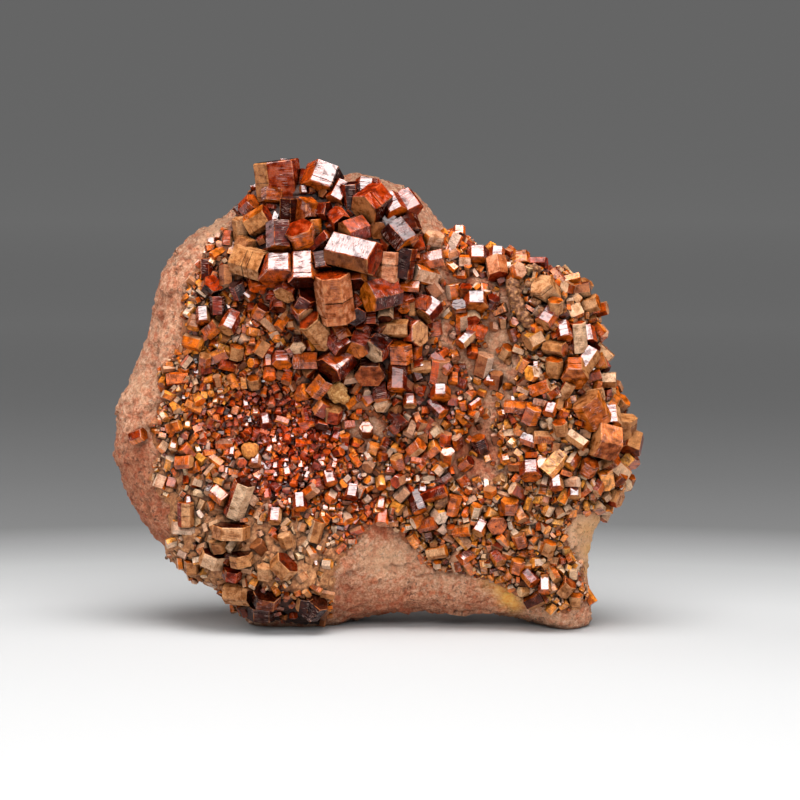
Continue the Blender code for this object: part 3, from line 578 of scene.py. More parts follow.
def make_rock(matrix_node):
    """The pink rock, with the granular, pitted skin of its broken and weathered surface."""
    rock = fine_mesh(matrix_node, "rock", ROCK_MESH)
    points = mesh_values(rock.data, "co")
    normals = mesh_values(rock.data, "normal")
    broken = chipped(points, ROCK_BREAKS, 0.0)
    chips = chipped(points, ROCK_CHIPS, 5.0)
    grains = field(points, ROCK_GRAINS, 2, 3.0)
    pits = np.clip(field(points, ROCK_PITS, 1, 7.0) - 0.35, 0, 1)
    height = BREAK_HEIGHT * broken + CHIP_HEIGHT * chips + GRAIN_HEIGHT * grains - PIT_DEPTH * pits
    standing = np.clip(points[:, 2] / SMOOTH_FOOT, 0, 1)
    points += normals * (height * MM * standing)[:, None]
    points[:, 2] = np.maximum(points[:, 2], 0)
    set_mesh_points(rock.data, points)
    rock.data.shade_smooth()
    seen_points = mesh_values(rock.data, "co")
    paint(rock.data, "ochre", zone_of_ochre(seen_points))
    paint(rock.data, "stain", stain_and_painted_light(seen_points))
    give_material(rock, weathered_rock())
    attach(rock, "root")
    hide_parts("matrix")
    return rock


def make_crust_base(rock):
    """The granular skin between the crystals: a sheet that rises out of the rock where they grow."""
    base = link_into_scene("druse_base", rock.data.copy())
    points = mesh_values(base.data, "co")
    normals = mesh_values(base.data, "normal")
    inside = crusted(points) + EDGE_WAVER * field(points, EDGE_PATCHES, 2, 11.0)
    front = points[:, 1] < ROCK_MIDDLE_Y - 0.5 * MM + 3 * MM * field(points, 7 * MM, 1, 5.0)
    rise = np.clip(inside / EDGE_SLOPE, -1, 1) * 0.5 + 0.5
    rise = np.where(front, rise, 0)
    grains = field(points, SKIN_GRAINS, 2, 2.0)
    lumpy = SKIN_GRAIN_HEIGHT * grains + SKIN_CHIP_HEIGHT * chipped(points, SKIN_CHIPS, 9.0)
    height = -SKIN_UNDER_ROCK + rise * (CRUST_THICKNESS / MM + SKIN_OVER_CRUST + lumpy)
    above_floor = points[:, 2] > SMOOTH_FOOT
    height = np.where(above_floor, height, -SKIN_UNDER_ROCK)
    outer = points + normals * (height * MM)[:, None]
    base.data = closed_sheet(base.data, outer, points - normals * MM, height > SKIN_KEPT_FROM)
    base.data.shade_smooth()
    widths, redness, dust, _ = zones_of(*pixels_of(mesh_values(base.data, "co")))
    # Painted shade for the ground between large crystals
    paint(base.data, "deep", gap_depth_and_shade(widths))
    paint(base.data, "redness", redness)
    paint(base.data, "dust", dust)
    give_material(base, druse_ground())
    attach(base, "root")
    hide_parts("vanadinite_crust", "gully_cluster")
    return base


def closed_sheet(mesh, outer, inner, kept):
    """A closed skin over part of a mesh: its faces at the outer points, backed by the inner points."""
    count = len(mesh.loops)
    corners = np.empty(count, np.int32)
    mesh.loops.foreach_get("vertex_index", corners)
    starts = np.empty(len(mesh.polygons), np.int32)
    mesh.polygons.foreach_get("loop_start", starts)
    faces = [face for face in np.split(corners, starts[1:]) if kept[face].all()]
    used = np.unique(np.concatenate(faces))
    number = np.full(len(outer), -1)
    number[used] = np.arange(len(used))
    front = [tuple(number[face].tolist()) for face in faces]
    edges = dict.fromkeys(edge for face in front for edge in zip(face, face[1:] + face[:1]))
    back = [tuple(corner + len(used) for corner in reversed(face)) for face in front]
    walls = [
        (second, first, first + len(used), second + len(used))
        for first, second in edges
        if (second, first) not in edges
    ]
    skin = bpy.data.meshes.new(mesh.name)
    skin.from_pydata(np.concatenate([outer[used], inner[used]]).tolist(), [], front + back + walls)
    return skin


def make_lumps(name, surface, parts, material, grain):
    """Rounded granular lumps: balls sunk in the ground, run together and roughened."""
    bm = bmesh.new()
    for px, py, radius_px, out in parts:
        radius = radius_px * PIXEL
        eye, direction = sight_line(px, py)
        towards_eye = radius * LUMP_RAISED_SHARE + out * MM
        centre = surface.ray_cast(eye, direction)[0] - direction * towards_eye
        bmesh.ops.create_icosphere(bm, subdivisions=3, radius=radius, matrix=Matrix.Translation(centre))
    mesh = bpy.data.meshes.new(name)
    bm.to_mesh(mesh)
    bm.free()
    obj = link_into_scene(name, mesh)
    remesh(obj, LUMP_MESH)
    points = mesh_values(obj.data, "co")
    normals = mesh_values(obj.data, "normal")
    rough = field(points, LUMP_GRAINS, 3, 4.0)
    pits = np.clip(field(points, LUMP_PITS, 1, 8.0) - 0.2, 0, 1)
    height = (LUMP_GRAIN_HEIGHT * rough - LUMP_PIT_DEPTH * pits) * grain
    set_mesh_points(obj.data, points + normals * (height * MM)[:, None])
    obj.data.shade_smooth()
    give_material(obj, material)
    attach(obj, "root")
    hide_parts("vanadinite_crust")


def hexagon(distances, cut):
    """A hexagon from its faces' distances, with each corner cut off by a narrow face if cut is given."""
    turns = np.arange(6) * math.pi / 3
    normals = np.stack([np.cos(turns), np.sin(turns)], 1)
    sides = np.stack([-np.sin(turns), np.cos(turns)], 1)
    following = np.roll(distances, -1)
    corners = (following - 0.5 * distances)[:, None] * sides / (math.sqrt(3) / 2)
    corners = corners + distances[:, None] * normals
    if cut == 0:
        return corners
    before = np.roll(corners, 1, 0)
    return np.stack([before + sides * cut, corners - sides * cut], 1).reshape(12, 2)


def prism_rings(rng, half, length, grooves, cut, thin):
    """The outlines of a prism along its axis: worn in at each growth groove and bevelled at the end.

    Below 1, thin brings the two faces across x nearer to each other, so that they are the broad ones.
    """
    distances = half * (1 + UNEVEN_SHARE * np.array([rng.uniform(-1, 1) for _ in range(6)]))
    distances[[0, 3]] *= thin
    bevel = min(0.05 * half + 0.02 * MM, 0.2 * length)
    rings = [(hexagon(distances, cut * half), -0.5 * length)]
    for level in sorted(rng.uniform(*GROOVE_LEVELS) for _ in range(grooves)):
        groove = min(rng.uniform(*GROOVE_WIDTHS) * MM, 0.5 * length / (grooves + 1))
        low = max(level * length, rings[-1][1])
        deep = 1 - GROOVE_DEPTH_SHARE * np.array([max(0, rng.uniform(-0.6, 1)) for _ in range(6)])
        worn = hexagon(distances * deep, cut * half)
        rings += [(rings[-1][0], low), (worn, low), (worn, low + groove)]
        distances = distances * (1 + CHANGE_SHARE * np.array([rng.uniform(-1, 1) for _ in range(6)]))
        rings.append((hexagon(distances, cut * half), low + groove))
    rings.append((rings[-1][0], max(0.5 * length - bevel, rings[-1][1] + 0.01 * MM)))
    rings.append((rings[-1][0] * (1 - bevel / half * 0.9), max(0.5 * length, rings[-1][1] + bevel)))
    return rings


class CrystalMesh:
    """Gathers many crystals into one mesh, with what each face needs for its colour."""

    def __init__(self):
        self.points = []
        self.faces = []
        self.along = []
        self.marks = []

    def add(self, rng, place, across, length, grooves, cut, look, thin):
        """One prism at a place. look(normal, end) gives how light, red and dusty a face is."""
        rings = prism_rings(rng, across / 2, length, grooves, cut, thin)
        count = len(rings[0][0])
        start = len(self.points)
        phase = rng.random() * 40
        turn = place.to_3x3()
        for ring, z in rings:
            for x, y in ring:
                self.points.append(place @ Vector((x, y, z)))
                self.along.append(z / MM + phase)
        sides = [turn @ Vector((math.cos(k * math.pi / 3), math.sin(k * math.pi / 3), 0)) for k in range(6)]
        marks = [look(side, False) for side in sides]
        end_mark = look(turn @ Vector((0, 0, 1)), True)
        for level in range(len(rings) - 1):
            ledge = abs(rings[level + 1][1] - rings[level][1]) < 0.001 * length
            bevelled = level == len(rings) - 2
            for corner in range(count):
                after = (corner + 1) % count
                low = start + level * count
                self.faces.append((low + corner, low + after, low + count + after, low + count + corner))
                side = corner // 2 if count == 12 else corner
                narrow = count == 12 and corner % 2 == 1
                # How much painted highlight a face's edge gets: full on bevels and cut corners, less on
                # groove ledges
                painted_edge_highlight = 1.0 if bevelled or narrow else 0.6 if ledge else 0.0
                self.marks.append((*marks[side % 6], painted_edge_highlight))
        top = start + (len(rings) - 1) * count
        self.faces.append(tuple(range(top, top + count)))
        self.faces.append(tuple(reversed(range(start, start + count))))
        # Ends are marked -1, so that they get no painted highlight and no painted streaks
        self.marks += [(*end_mark, -1.0), (*end_mark, -1.0)]

    def surface(self):
        return BVHTree.FromPolygons(self.points, self.faces)

    def finish(self, name, material, *nodes):
        """The piece itself, in place of the named nodes."""
        mesh = bpy.data.meshes.new(name)
        mesh.from_pydata(self.points, [], self.faces)
        paint(mesh, "along", self.along)
        marks = np.array(self.marks, np.float32)
        for column, label in enumerate(("tone", "redness", "coat", "edge")):
            attribute = mesh.attributes.new(label, "FLOAT", "FACE")
            attribute.data.foreach_set("value", np.ascontiguousarray(marks[:, column]))
        mesh.update()
        obj = link_into_scene(name, mesh)
        give_material(obj, material)
        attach(obj, "root")
        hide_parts(*nodes)


def crystal_axis(heading, lean):
    """The direction of a crystal's long axis, from how it lies in the picture."""
    _, right, up, forward = seen_from()
    turn = math.radians(heading)
    tip = math.radians(lean)
    in_picture = right * math.cos(turn) + up * math.sin(turn)
    return in_picture * math.sin(tip) - forward * math.cos(tip)


def towards_light():
    """The picture's direction from which most light comes: above, a little from the left."""
    _, right, up, _ = seen_from()
    return (up - right * 0.35).normalized()


def upright(centre, axis, turn):
    """A crystal's place: z along its axis, x out of the face that is rolled towards the light."""
    forward = seen_from()[3]
    towards = -forward - axis * -forward.dot(axis)
    side = axis.cross(towards)
    if side.dot(towards_light()) < 0:
        side = -side
    angle = math.radians(turn)
    face = (towards.normalized() * math.cos(angle) + side.normalized() * math.sin(angle)).normalized()
    return Matrix.Translation(centre) @ Matrix((face, axis.cross(face), axis)).transposed().to_4x4()


def large_place(surface, ground, crystal):
    """Where a large crystal stands: as in the part, sunk by its own size into what its pixel shows.

    Where the ground is lower than the part's crust, it sinks further, so that it stays rooted.
    """
    px, py, across_px, length_px, heading, lean, turn = crystal[:7]
    across = across_px * PIXEL
    length = length_px * PIXEL
    axis = crystal_axis(heading, lean)
    eye, direction = sight_line(px, py)
    hit = surface.ray_cast(eye, direction)[0]
    if hit is None:
        hit = surface.find_nearest(seen_at(px, py, ROCK_MIDDLE_Y))[0]
        hit = seen_at(px, py, hit.y)
    reach = length / 2 * abs(axis.dot(direction)) + across / 2 * abs(axis.cross(direction).length)
    sunk = max(BURIED_SHARE * reach, LEAST_BURIED)
    shown = ground.ray_cast(eye, direction)[0]
    if shown is not None:
        sunk += max(0, (shown - hit).dot(direction) - 0.5 * sunk)
    return upright(hit - direction * (reach - sunk), axis, turn)


def face_looks(rng, letters):
    """How each face of a crystal looks, from the letters of LOOKS."""
    light = towards_light()

    def look(normal, end):
        letter = letters[2] if end else letters[0 if normal.dot(light) > 0.1 else 1]
        tone, redness, coat = LOOKS[letter]
        tone = min(1, max(0, tone + rng.gauss(0, 0.07)))
        return tone, redness, coat

    return look


def add_large(crystals, surface, ground, rng, gather):
    for crystal in crystals:
        across_px, length_px = crystal[2:4]
        look = face_looks(rng, crystal[7])
        grooves = int(length_px / LARGE_GROOVE_EVERY + rng.random() * LARGE_MORE_GROOVES)
        place = large_place(surface, ground, crystal)
        thin = rng.uniform(*LARGE_THIN)
        gather.add(rng, place, across_px * PIXEL, length_px * PIXEL, grooves, CORNER_CUT, look, thin)


def surface_samples(base, rng, count):
    """Random points on a mesh, spread by area, with the normals there."""
    mesh = base.data
    mesh.calc_loop_triangles()
    corners = np.empty(len(mesh.loop_triangles) * 3, np.int32)
    mesh.loop_triangles.foreach_get("vertices", corners)
    corners = corners.reshape(-1, 3)
    points = mesh_values(mesh, "co")
    a, b, c = (points[corners[:, k]] for k in range(3))
    cross = np.cross(b - a, c - a)
    area = np.linalg.norm(cross, axis=1)
    draw = np.random.default_rng(rng.randrange(1 << 30))
    picked = draw.choice(len(area), count, p=area / area.sum())
    u = draw.random((count, 2))
    u = np.where(u.sum(1, keepdims=True) > 1, 1 - u, u)
    spots = a[picked] + u[:, :1] * (b - a)[picked] + u[:, 1:] * (c - a)[picked]
    return spots, cross[picked] / area[picked][:, None]


def small_standing(rng, normal, centre, lit):
    """How a small crystal stands: a lit one leans so that a side catches the light."""
    if lit:
        heading, lean, turn = (rng.gauss(mean, spread) for mean, spread in LIT_STANDS)
        return upright(centre, crystal_axis(heading, lean), turn)
    heading = rng.uniform(0, 360)
    lean, turn = (rng.gauss(mean, spread) for mean, spread in OTHERS_STAND)
    lean = min(LEANS[1], max(LEANS[0], lean))
    place = upright(centre, crystal_axis(heading, lean), turn)
    forward = seen_from()[3]
    facing = (normal * 0.6 - forward).normalized()
    turned = (-forward).rotation_difference(facing).to_matrix().to_4x4()
    return Matrix.Translation(centre) @ turned @ Matrix.Translation(-centre) @ place


def gap_depth_and_shade(width):
    """How deep the gaps are between crystals of a width in pixels, 0 to 1: painted shade for the ground and
    small crystals.
    """
    return np.clip((width - 9) / 3.5, 0, 1)


def small_looks(rng, redness, dust, lightest_in_painted_shade, lit):
    """How a small crystal's faces look: glassy sides, and ends and some sides under dust."""
    tone = (0.5 - 0.35 * redness + (0.6 - 0.05 * redness) * rng.random()) * lightest_in_painted_shade
    redness = min(1, max(0, redness + rng.gauss(0, 0.18 - 0.12 * redness)))
    dusted = dust + rng.gauss(0, 0.15)

    def look(normal, end):
        chance = dusted * (1.3 if end else 0.85)
        coat = rng.uniform(0.65, 1) if rng.random() < chance else 0.25 * rng.random()
        if lit and not end:
            coat = 0.0
        return min(1, max(0, tone + rng.gauss(0, 0.2) * lightest_in_painted_shade)), redness, coat

    return look


def buried(larger, point):
    """Whether a point lies under larger crystals, as the camera sees it."""
    eye = seen_from()[0]
    away = point - eye
    return larger.ray_cast(eye, away, away.length)[0] is not None


def neighbours(taken, key):
    """The small crystals that stand in a cell and in the cells around it."""
    near = (-1, 0, 1)
    around = [(key[0] + dx, key[1] + dy, key[2] + dz) for dx in near for dy in near for dz in near]
    return [other for cell in around for other in taken.get(cell, ())]


def add_small(base, larger, rng, tries, gathers, spacing, covering, taken, size_share):
    """Small crystals over a surface, packed as close as their sizes and the zone's cover let them.

    None stands under the larger ones. taken keeps what stands where. A size share below 1 makes the
    small ones that fill the gaps.
    """
    spots, normals = surface_samples(base, rng, tries)
    px, py = pixels_of(spots)
    cover = covering(spots, px, py)
    widths, redness, dust, _ = zones_of(px, py)
    for number, spot in enumerate(spots):
        if rng.random() > cover[number] * 1.2 - 0.2 + 0.2 * (cover[number] >= 0.99):
            continue
        here = Vector(spot)
        if buried(larger, here):
            continue
        lit = rng.random() < LIT_SHARE + LIT_SHARE_IN_RED * redness[number] ** 3
        across = widths[number] * PIXEL * size_share * min(1.8, max(0.5, rng.lognormvariate(0, 0.33)))
        across *= LIT_WIDTH if lit else 1
        if here.z < 1.3 * across:
            continue
        key = tuple(int(v // SEARCH_CELL) for v in spot)
        gap = spacing / max(cover[number], 0.15) ** 0.5
        if any((here - where).length < gap * (across + size) for where, size in neighbours(taken, key)):
            continue
        taken.setdefault(key, []).append((here, across))
        normal = Vector(normals[number])
        length = across * rng.uniform(*SMALL_LENGTHS)
        centre = here + normal * across * rng.uniform(*SMALL_RISES)
        place = small_standing(rng, normal, centre, lit)
        gather = gathers[0] if px[number] < LEFT_HALF else gathers[-1]
        # Painted shade: small crystals between large ones are darker
        lightest_in_painted_shade = 1 - 0.75 * gap_depth_and_shade(widths[number])
        look = small_looks(rng, redness[number], dust[number], lightest_in_painted_shade, lit)
        grooves = int(rng.random() * SMALL_MOST_GROOVES)
        gather.add(rng, place, across, length, grooves, 0, look, rng.uniform(*SMALL_THIN))


def crust_cover(spots, px, py):
    """How closely small crystals cover the crust: thinner towards its edge."""
    inside = crusted(spots)
    cover = zones_of(px, py)[3]
    return cover * np.clip((inside + 4) / 12, 0, 1) * (spots[:, 2] > LOWEST_SMALL)


def filling_cover(spots, px, py):
    """How closely the smallest crystals fill the gaps: everywhere but between the largest ones."""
    widths, _, dust, _ = zones_of(px, py)
    cover = (0.75 - 0.45 * gap_depth_and_shade(widths)) * (1 - 0.85 * np.clip((dust - 0.5) / 0.25, 0, 1))
    return np.where(crusted(spots) > 0, cover, 0) * (spots[:, 2] > LOWEST_SMALL)


def gully_cover(spots, px, py):
    """Scattered small crystals on the bare rock of the gully and the window."""
    open_rock = inside_loop(px, py, BARE_GULLY) | inside_loop(px, py, BARE_WINDOW)
    return np.where(open_rock & (spots[:, 1] < ROCK_MIDDLE_Y), GULLY_COVER, 0)


def srgb(code):
    """An sRGB hex colour as linear RGBA."""
    parts = [int(code[place : place + 2], 16) / 255 for place in (1, 3, 5)]
    linear = [v / 12.92 if v <= 0.04045 else ((v + 0.055) / 1.055) ** 2.4 for v in parts]
    return (*linear, 1.0)


def cells(size):
    """The scale of a pattern whose cells have a size in millimetres."""
    return 1 / (size * MM)


def set_inputs(tree, node, links):
    """Give a node's inputs values or other nodes' outputs, by name or number, or as a tuple in order."""
    for name, value in links.items() if isinstance(links, dict) else enumerate(links):
        if isinstance(value, bpy.types.NodeSocket):
            tree.links.new(value, node.inputs[name])
        else:
            node.inputs[name].default_value = value


def add_node(tree, kind, links, output=0, stops=(), **settings):
    """Add a shader node and give back one of its outputs.

    links gives its inputs a value or another node's output, stops a colour ramp's places and hex
    colours, and settings its own properties.
    """
    node = tree.nodes.new("ShaderNode" + kind)
    for name, value in settings.items():
        setattr(node, name, value)
    set_inputs(tree, node, links)
    if stops:
        elements = node.color_ramp.elements
        while len(elements) < len(stops):
            elements.new(0.5)
        for element, (place, code) in zip(elements, stops):
            element.position = place
            element.color = srgb(code)
    return node.outputs[output]


def new_material(name):
    """A material, its tree, the function that adds nodes to it, the shaded place and the shader."""
    material = bpy.data.materials.new(name)
    material.use_nodes = True
    tree = material.node_tree
    node = partial(add_node, tree)
    return material, tree, node, node("TexCoord", (), "Object"), tree.nodes["Principled BSDF"]


def vanadinite():
    """Vanadinite, grown crystal faces: glassy to resinous, deep red-brown, with painted highlights on thin
    edges.

    Its high refractive index gives hard white reflections, which growth steps across the long axis
    break up in bunches. Iron dust turns some faces tan and duller. Painted shade makes the gaps
    between the crystals sink towards black.
    """
    material, tree, node, place, shader = new_material("vanadinite")
    tone, coat, edge, redness, along = (
        node("Attribute", (), "Fac", attribute_name=label)
        for label in ("tone", "coat", "edge", "redness", "along")
    )
    cloud = node("TexNoise", {"Vector": place, "Scale": cells(1.25), "Detail": 4.0})
    grain = node("TexNoise", {"Vector": place, "Scale": cells(0.2381), "Detail": 3.0})
    steps = growth_steps(node, place, along, 0.0, 0.5)
    # Painted highlight: pale streaks that stand for growth steps catching the light
    painted_glints = growth_steps(node, place, along, 0.07, 0.43)

    # The body: brown to red, cloudy inside
    stops = [(0.0, "#200902"), (0.35, "#843609"), (0.7, "#c86c18"), (1.0, "#e09a40")]
    brown = node("ValToRGB", {"Fac": tone}, stops=stops)
    stops = [(0.0, "#3c0902"), (0.3, "#a02406"), (0.6, "#e24c08"), (1.0, "#f47a1e")]
    red = node("ValToRGB", {"Fac": tone}, stops=stops)
    body = node("Mix", {0: redness, 6: brown, 7: red}, **MIX)
    inner = node("MapRange", (cloud, 0.36, 0.62, 0.35, 1.2))
    body = node("Mix", {0: 1.0, 6: body, 7: inner}, **DARKEN)

    # The dust over it: tan, or mauve on red crystals, in patches
    dusty = node("Math", (coat, cloud), operation="ADD")
    mask = node("MapRange", (dusty, 0.85, 1.25, 0.0, 1.0))
    stops = [(0.0, "#3c1a08"), (0.25, "#8c4c20"), (0.5, "#b07846"), (1.0, "#dab48c")]
    tan = node("ValToRGB", {"Fac": tone}, stops=stops)
    mauve = node("ValToRGB", {"Fac": tone}, stops=[(0.0, "#42180a"), (0.5, "#a65e40"), (1.0, "#dcbab0")])
    tan = node("Mix", {0: redness, 6: tan, 7: mauve}, **MIX)
    mottle = node("MapRange", (cloud, 0.35, 0.65, 0.66, 1.12))
    tan = node("Mix", {0: 1.0, 6: tan, 7: mottle}, **DARKEN)
    colour = node("Mix", {0: mask, 6: body, 7: tan}, **MIX)
    speckle = node("MapRange", (grain, 0.35, 0.65, 0.7, 1.2))
    colour = node("Mix", {0: 1.0, 6: colour, 7: speckle}, **DARKEN)

    # Painted highlights on edges, dark growth lines, painted pale streaks on the sides and painted shade in
    # gaps
    clear = node("MapRange", (cloud, 0.4, 0.6, 0.0, 0.45))
    painted_edge_highlight = node("Math", (edge, clear), **TIMES)
    painted_glow = node("ValToRGB", {"Fac": redness}, stops=[(0.2, "#c08048"), (0.9, "#d8662c")])
    colour = node("Mix", {0: painted_edge_highlight, 6: colour, 7: painted_glow}, **MIX)
    fainter = node("MapRange", (mask, 0.0, 1.0, 0.8, 0.55))
    line = node("Math", (steps, fainter), **TIMES)
    colour = node("Mix", {0: line, 6: colour, 7: srgb("#240b04")}, **MIX)
    bare = node("MapRange", (mask, 0.0, 0.6, 0.35, 0.0))
    painted_glint = node("Math", (painted_glints, bare), **TIMES)
    side = node("MapRange", (edge, -1.0, 0.0, 0.0, 1.0))
    painted_glint = node("Math", (painted_glint, side), **TIMES)
    colour = node("Mix", {0: painted_glint, 6: colour, 7: srgb("#f0cabc")}, **MIX)
    # Painted shade in the gaps between crystals, on colour and on shine
    gap_shade = painted_gap_shade(node)
    colour = node("Mix", {0: 1.0, 6: colour, 7: gap_shade}, **DARKEN)

    # The shine: weaker under dust, on growth lines, on cloudy places, and in gaps as painted shade
    rough = node("MapRange", (mask, 0.0, 1.0, 0.08, 0.35))
    sheen = node("MapRange", (coat, 0.04, 0.25, 0.5, 0.12))
    polished = node("MapRange", (steps, 0.0, 1.0, 1.0, 0.1))
    whole = node("MapRange", (cloud, 0.36, 0.42, 0.4, 1.0))
    polished = node("Math", (polished, whole), **TIMES)
    sheen = node("Math", (sheen, polished), **TIMES)
    sheen_in_gap_shade = node("MapRange", (gap_shade, 0.0, 0.5, 0.1, 1.0))
    sheen = node("Math", (sheen, sheen_in_gap_shade), **TIMES)
    bump = node("Bump", {"Height": steps, "Strength": 0.6, "Distance": 0.03 * MM})
    set_inputs(tree, shader, {"Base Color": colour, "Roughness": rough, "IOR": 1.76})
    set_inputs(tree, shader, {"Specular IOR Level": sheen, "Normal": bump})
    return material


def growth_steps(node, place, along, shift, share):
    """Thin lines across a crystal's long axis, in bunches, 1 on a line and 0 between lines.

    They follow noise that changes fast along the axis and slowly across it.
    """
    place = node("VectorMath", (place, (shift, shift, shift)), operation="ADD")
    ahead = node("Math", (along, cells(0.5263) * MM), **TIMES)
    ahead = node("CombineXYZ", {"X": ahead})
    wander = (cells(3.571),) * 3
    stretched = node("VectorMath", (place, wander, ahead), operation="MULTIPLY_ADD")
    level = node("TexNoise", {"Vector": stretched, "Scale": 1.0, "Detail": 2.0})
    level = node("Math", (level, 7.5), **TIMES)
    wave = node("Math", (level, 0.5), operation="PINGPONG")
    lines = node("MapRange", (wave, 0.03, 0.10, 1.0, 0.0))
    bunch = node("TexNoise", {"Vector": place, "Scale": cells(2.381), "Detail": 1.0})
    bunch = node("MapRange", (bunch, 0.93 - share, 1.02 - share, 0.0, 1.0))
    return node("Math", (lines, bunch), **TIMES)


def painted_gap_shade(node):
    """Painted shade for gaps: a factor from ambient occlusion, 1 in the open and little in the gaps between
    dark crystals.
    """
    open_sky = node("AmbientOcclusion", {"Distance": 1.6 * MM}, "AO", samples=4)
    return node("MapRange", (open_sky, 0.32, 0.8, 0.02, 1.0))


def weathered_rock():
    """Weathered fine-grained rock, broken: matt, granular, pink-tan with iron stain and ochre, and painted
    light and shade.
    """
    material, tree, node, place, shader = new_material("weathered rock")
    broad = node("TexNoise", {"Vector": place, "Scale": cells(9.091), "Detail": 5.0})
    grain = node("TexNoise", {"Vector": place, "Scale": cells(0.4762), "Detail": 5.0, "Roughness": 0.8})
    colour = node("ValToRGB", {"Fac": broad}, stops=[(0.3, "#cc8a60"), (0.5, "#ecab80"), (0.7, "#fcc69c")])
    speck = node("ValToRGB", {"Fac": grain}, stops=[(0.36, "#80462c"), (0.5, "#e2a27c"), (0.64, "#ffe2ca")])
    colour = node("Mix", {0: 0.65, 6: colour, 7: speck}, **MIX)
    pinker = node("TexNoise", {"Vector": place, "Scale": cells(1.25), "Detail": 3.0})
    pinker = node("ValToRGB", {"Fac": pinker}, stops=[(0.36, "#f0c4b0"), (0.54, "#ffffff")])
    colour = node("Mix", {0: 1.0, 6: colour, 7: pinker}, **DARKEN)

    # Iron stain and painted shade where the stain is above 0, rock lightened by painted light where it is
    # below 0
    stain = node("Attribute", (), "Fac", attribute_name="stain")
    rust_and_painted_shade = node("Mix", {0: 1.0, 6: colour, 7: srgb("#c4865a")}, **DARKEN)
    colour = node("Mix", {0: stain, 6: colour, 7: rust_and_painted_shade}, **MIX)
    painted_light_share = node("MapRange", (stain, -1.0, 0.0, 0.6, 0.0))
    colour = node("Mix", {0: painted_light_share, 6: colour, 7: srgb("#ffd0a4")}, **MIX)

    # Painted shade where it faces up, brown hollows, painted shade in gaps, and ochre over all
    up = node("NewGeometry", (), "Normal")
    up = node("SeparateXYZ", {"Vector": up}, "Z")
    painted_top_shade = node("Mix", {0: 1.0, 6: colour, 7: srgb("#b8b4b0")}, **DARKEN)
    facing_up = node("MapRange", (up, 0.2, 0.8, 0.0, 1.0))
    colour = node("Mix", {0: facing_up, 6: colour, 7: painted_top_shade}, **MIX)
    hollow = node("TexNoise", {"Vector": place, "Scale": cells(0.6667), "Detail": 4.0})
    hollow = node("MapRange", (hollow, 0.56, 0.66, 0.0, 1.0))
    patchy = node("MapRange", (broad, 0.4, 0.6, 0.25, 0.75))
    hollow = node("Math", (hollow, patchy), **TIMES)
    colour = node("Mix", {0: hollow, 6: colour, 7: srgb("#4a2414")}, **MIX)
    gap_shade = node("MapRange", (painted_gap_shade(node), 0.0, 1.0, 0.35, 1.0))
    colour = node("Mix", {0: 1.0, 6: colour, 7: gap_shade}, **DARKEN)
    ochre = node("Attribute", (), "Fac", attribute_name="ochre")
    yellow = node("ValToRGB", {"Fac": grain}, stops=[(0.3, "#f88c20"), (0.6, "#ffc868")])
    colour = node("Mix", {0: ochre, 6: colour, 7: yellow}, **MIX)
    bump = node("Bump", {"Height": grain, "Strength": 1.0, "Distance": 0.7 * MM})
    set_inputs(tree, shader, {"Base Color": colour, "Roughness": 0.9, "Normal": bump})
    return material


def druse_ground():
    """The ground between the crystals: granular vanadinite and rock dust, from red-orange to tan, under
    painted shade in gaps.
    """
    material, tree, node, place, shader = new_material("druse ground")
    dust, redness, deep = (
        node("Attribute", (), "Fac", attribute_name=label) for label in ("dust", "redness", "deep")
    )
    grain = node("TexNoise", {"Vector": place, "Scale": cells(0.625), "Detail": 5.0, "Roughness": 0.75})
    brown = node("ValToRGB", {"Fac": grain}, stops=[(0.3, "#1c0802"), (0.5, "#502008"), (0.7, "#96541c")])
    red = node("ValToRGB", {"Fac": grain}, stops=[(0.3, "#5a1002"), (0.5, "#bc3a06"), (0.7, "#f47a1a")])
    tan = node("ValToRGB", {"Fac": grain}, stops=[(0.3, "#6a3818"), (0.5, "#bc7c48"), (0.7, "#ecba84")])
    colour = node("Mix", {0: redness, 6: brown, 7: red}, **MIX)
    colour = node("Mix", {0: dust, 6: colour, 7: tan}, **MIX)
    # Painted shade: darker between large crystals and in gaps
    shade = node("Math", (deep, 0.9), **TIMES)
    colour = node("Mix", {0: shade, 6: colour, 7: srgb("#160703")}, **MIX)
    colour = node("Mix", {0: 1.0, 6: colour, 7: painted_gap_shade(node)}, **DARKEN)
    bump = node("Bump", {"Height": grain, "Strength": 0.8, "Distance": 0.3 * MM})
    set_inputs(tree, shader, {"Base Color": colour, "Roughness": 0.6, "Normal": bump})
    return material


def iron_stained_grains(name, codes):
    """Fine grains cemented with iron oxide: matt, sugary, from ochre to tan."""
    material, tree, node, place, shader = new_material(name)
    grain = node("TexNoise", {"Vector": place, "Scale": cells(0.5263), "Detail": 4.0, "Roughness": 0.7})
    colour = node("ValToRGB", {"Fac": grain}, stops=list(zip((0.32, 0.5, 0.68), codes)))
    bump = node("Bump", {"Height": grain, "Strength": 0.8, "Distance": 0.2 * MM})
    set_inputs(tree, shader, {"Base Color": colour, "Roughness": 0.7, "Normal": bump})
    return material


def add_camera():
    eye, _, _, forward = seen_from()
    camera = bpy.data.cameras.new("camera")
    camera.sensor_width = SENSOR
    camera.lens = SENSOR * VIEW_DISTANCE / (PICTURE * PIXEL)
    camera.clip_end = 50
    obj = link_into_scene("camera", camera)
    obj.matrix_world = Matrix.Translation(eye) @ forward.to_track_quat("-Z", "Y").to_matrix().to_4x4()
    bpy.context.scene.camera = obj


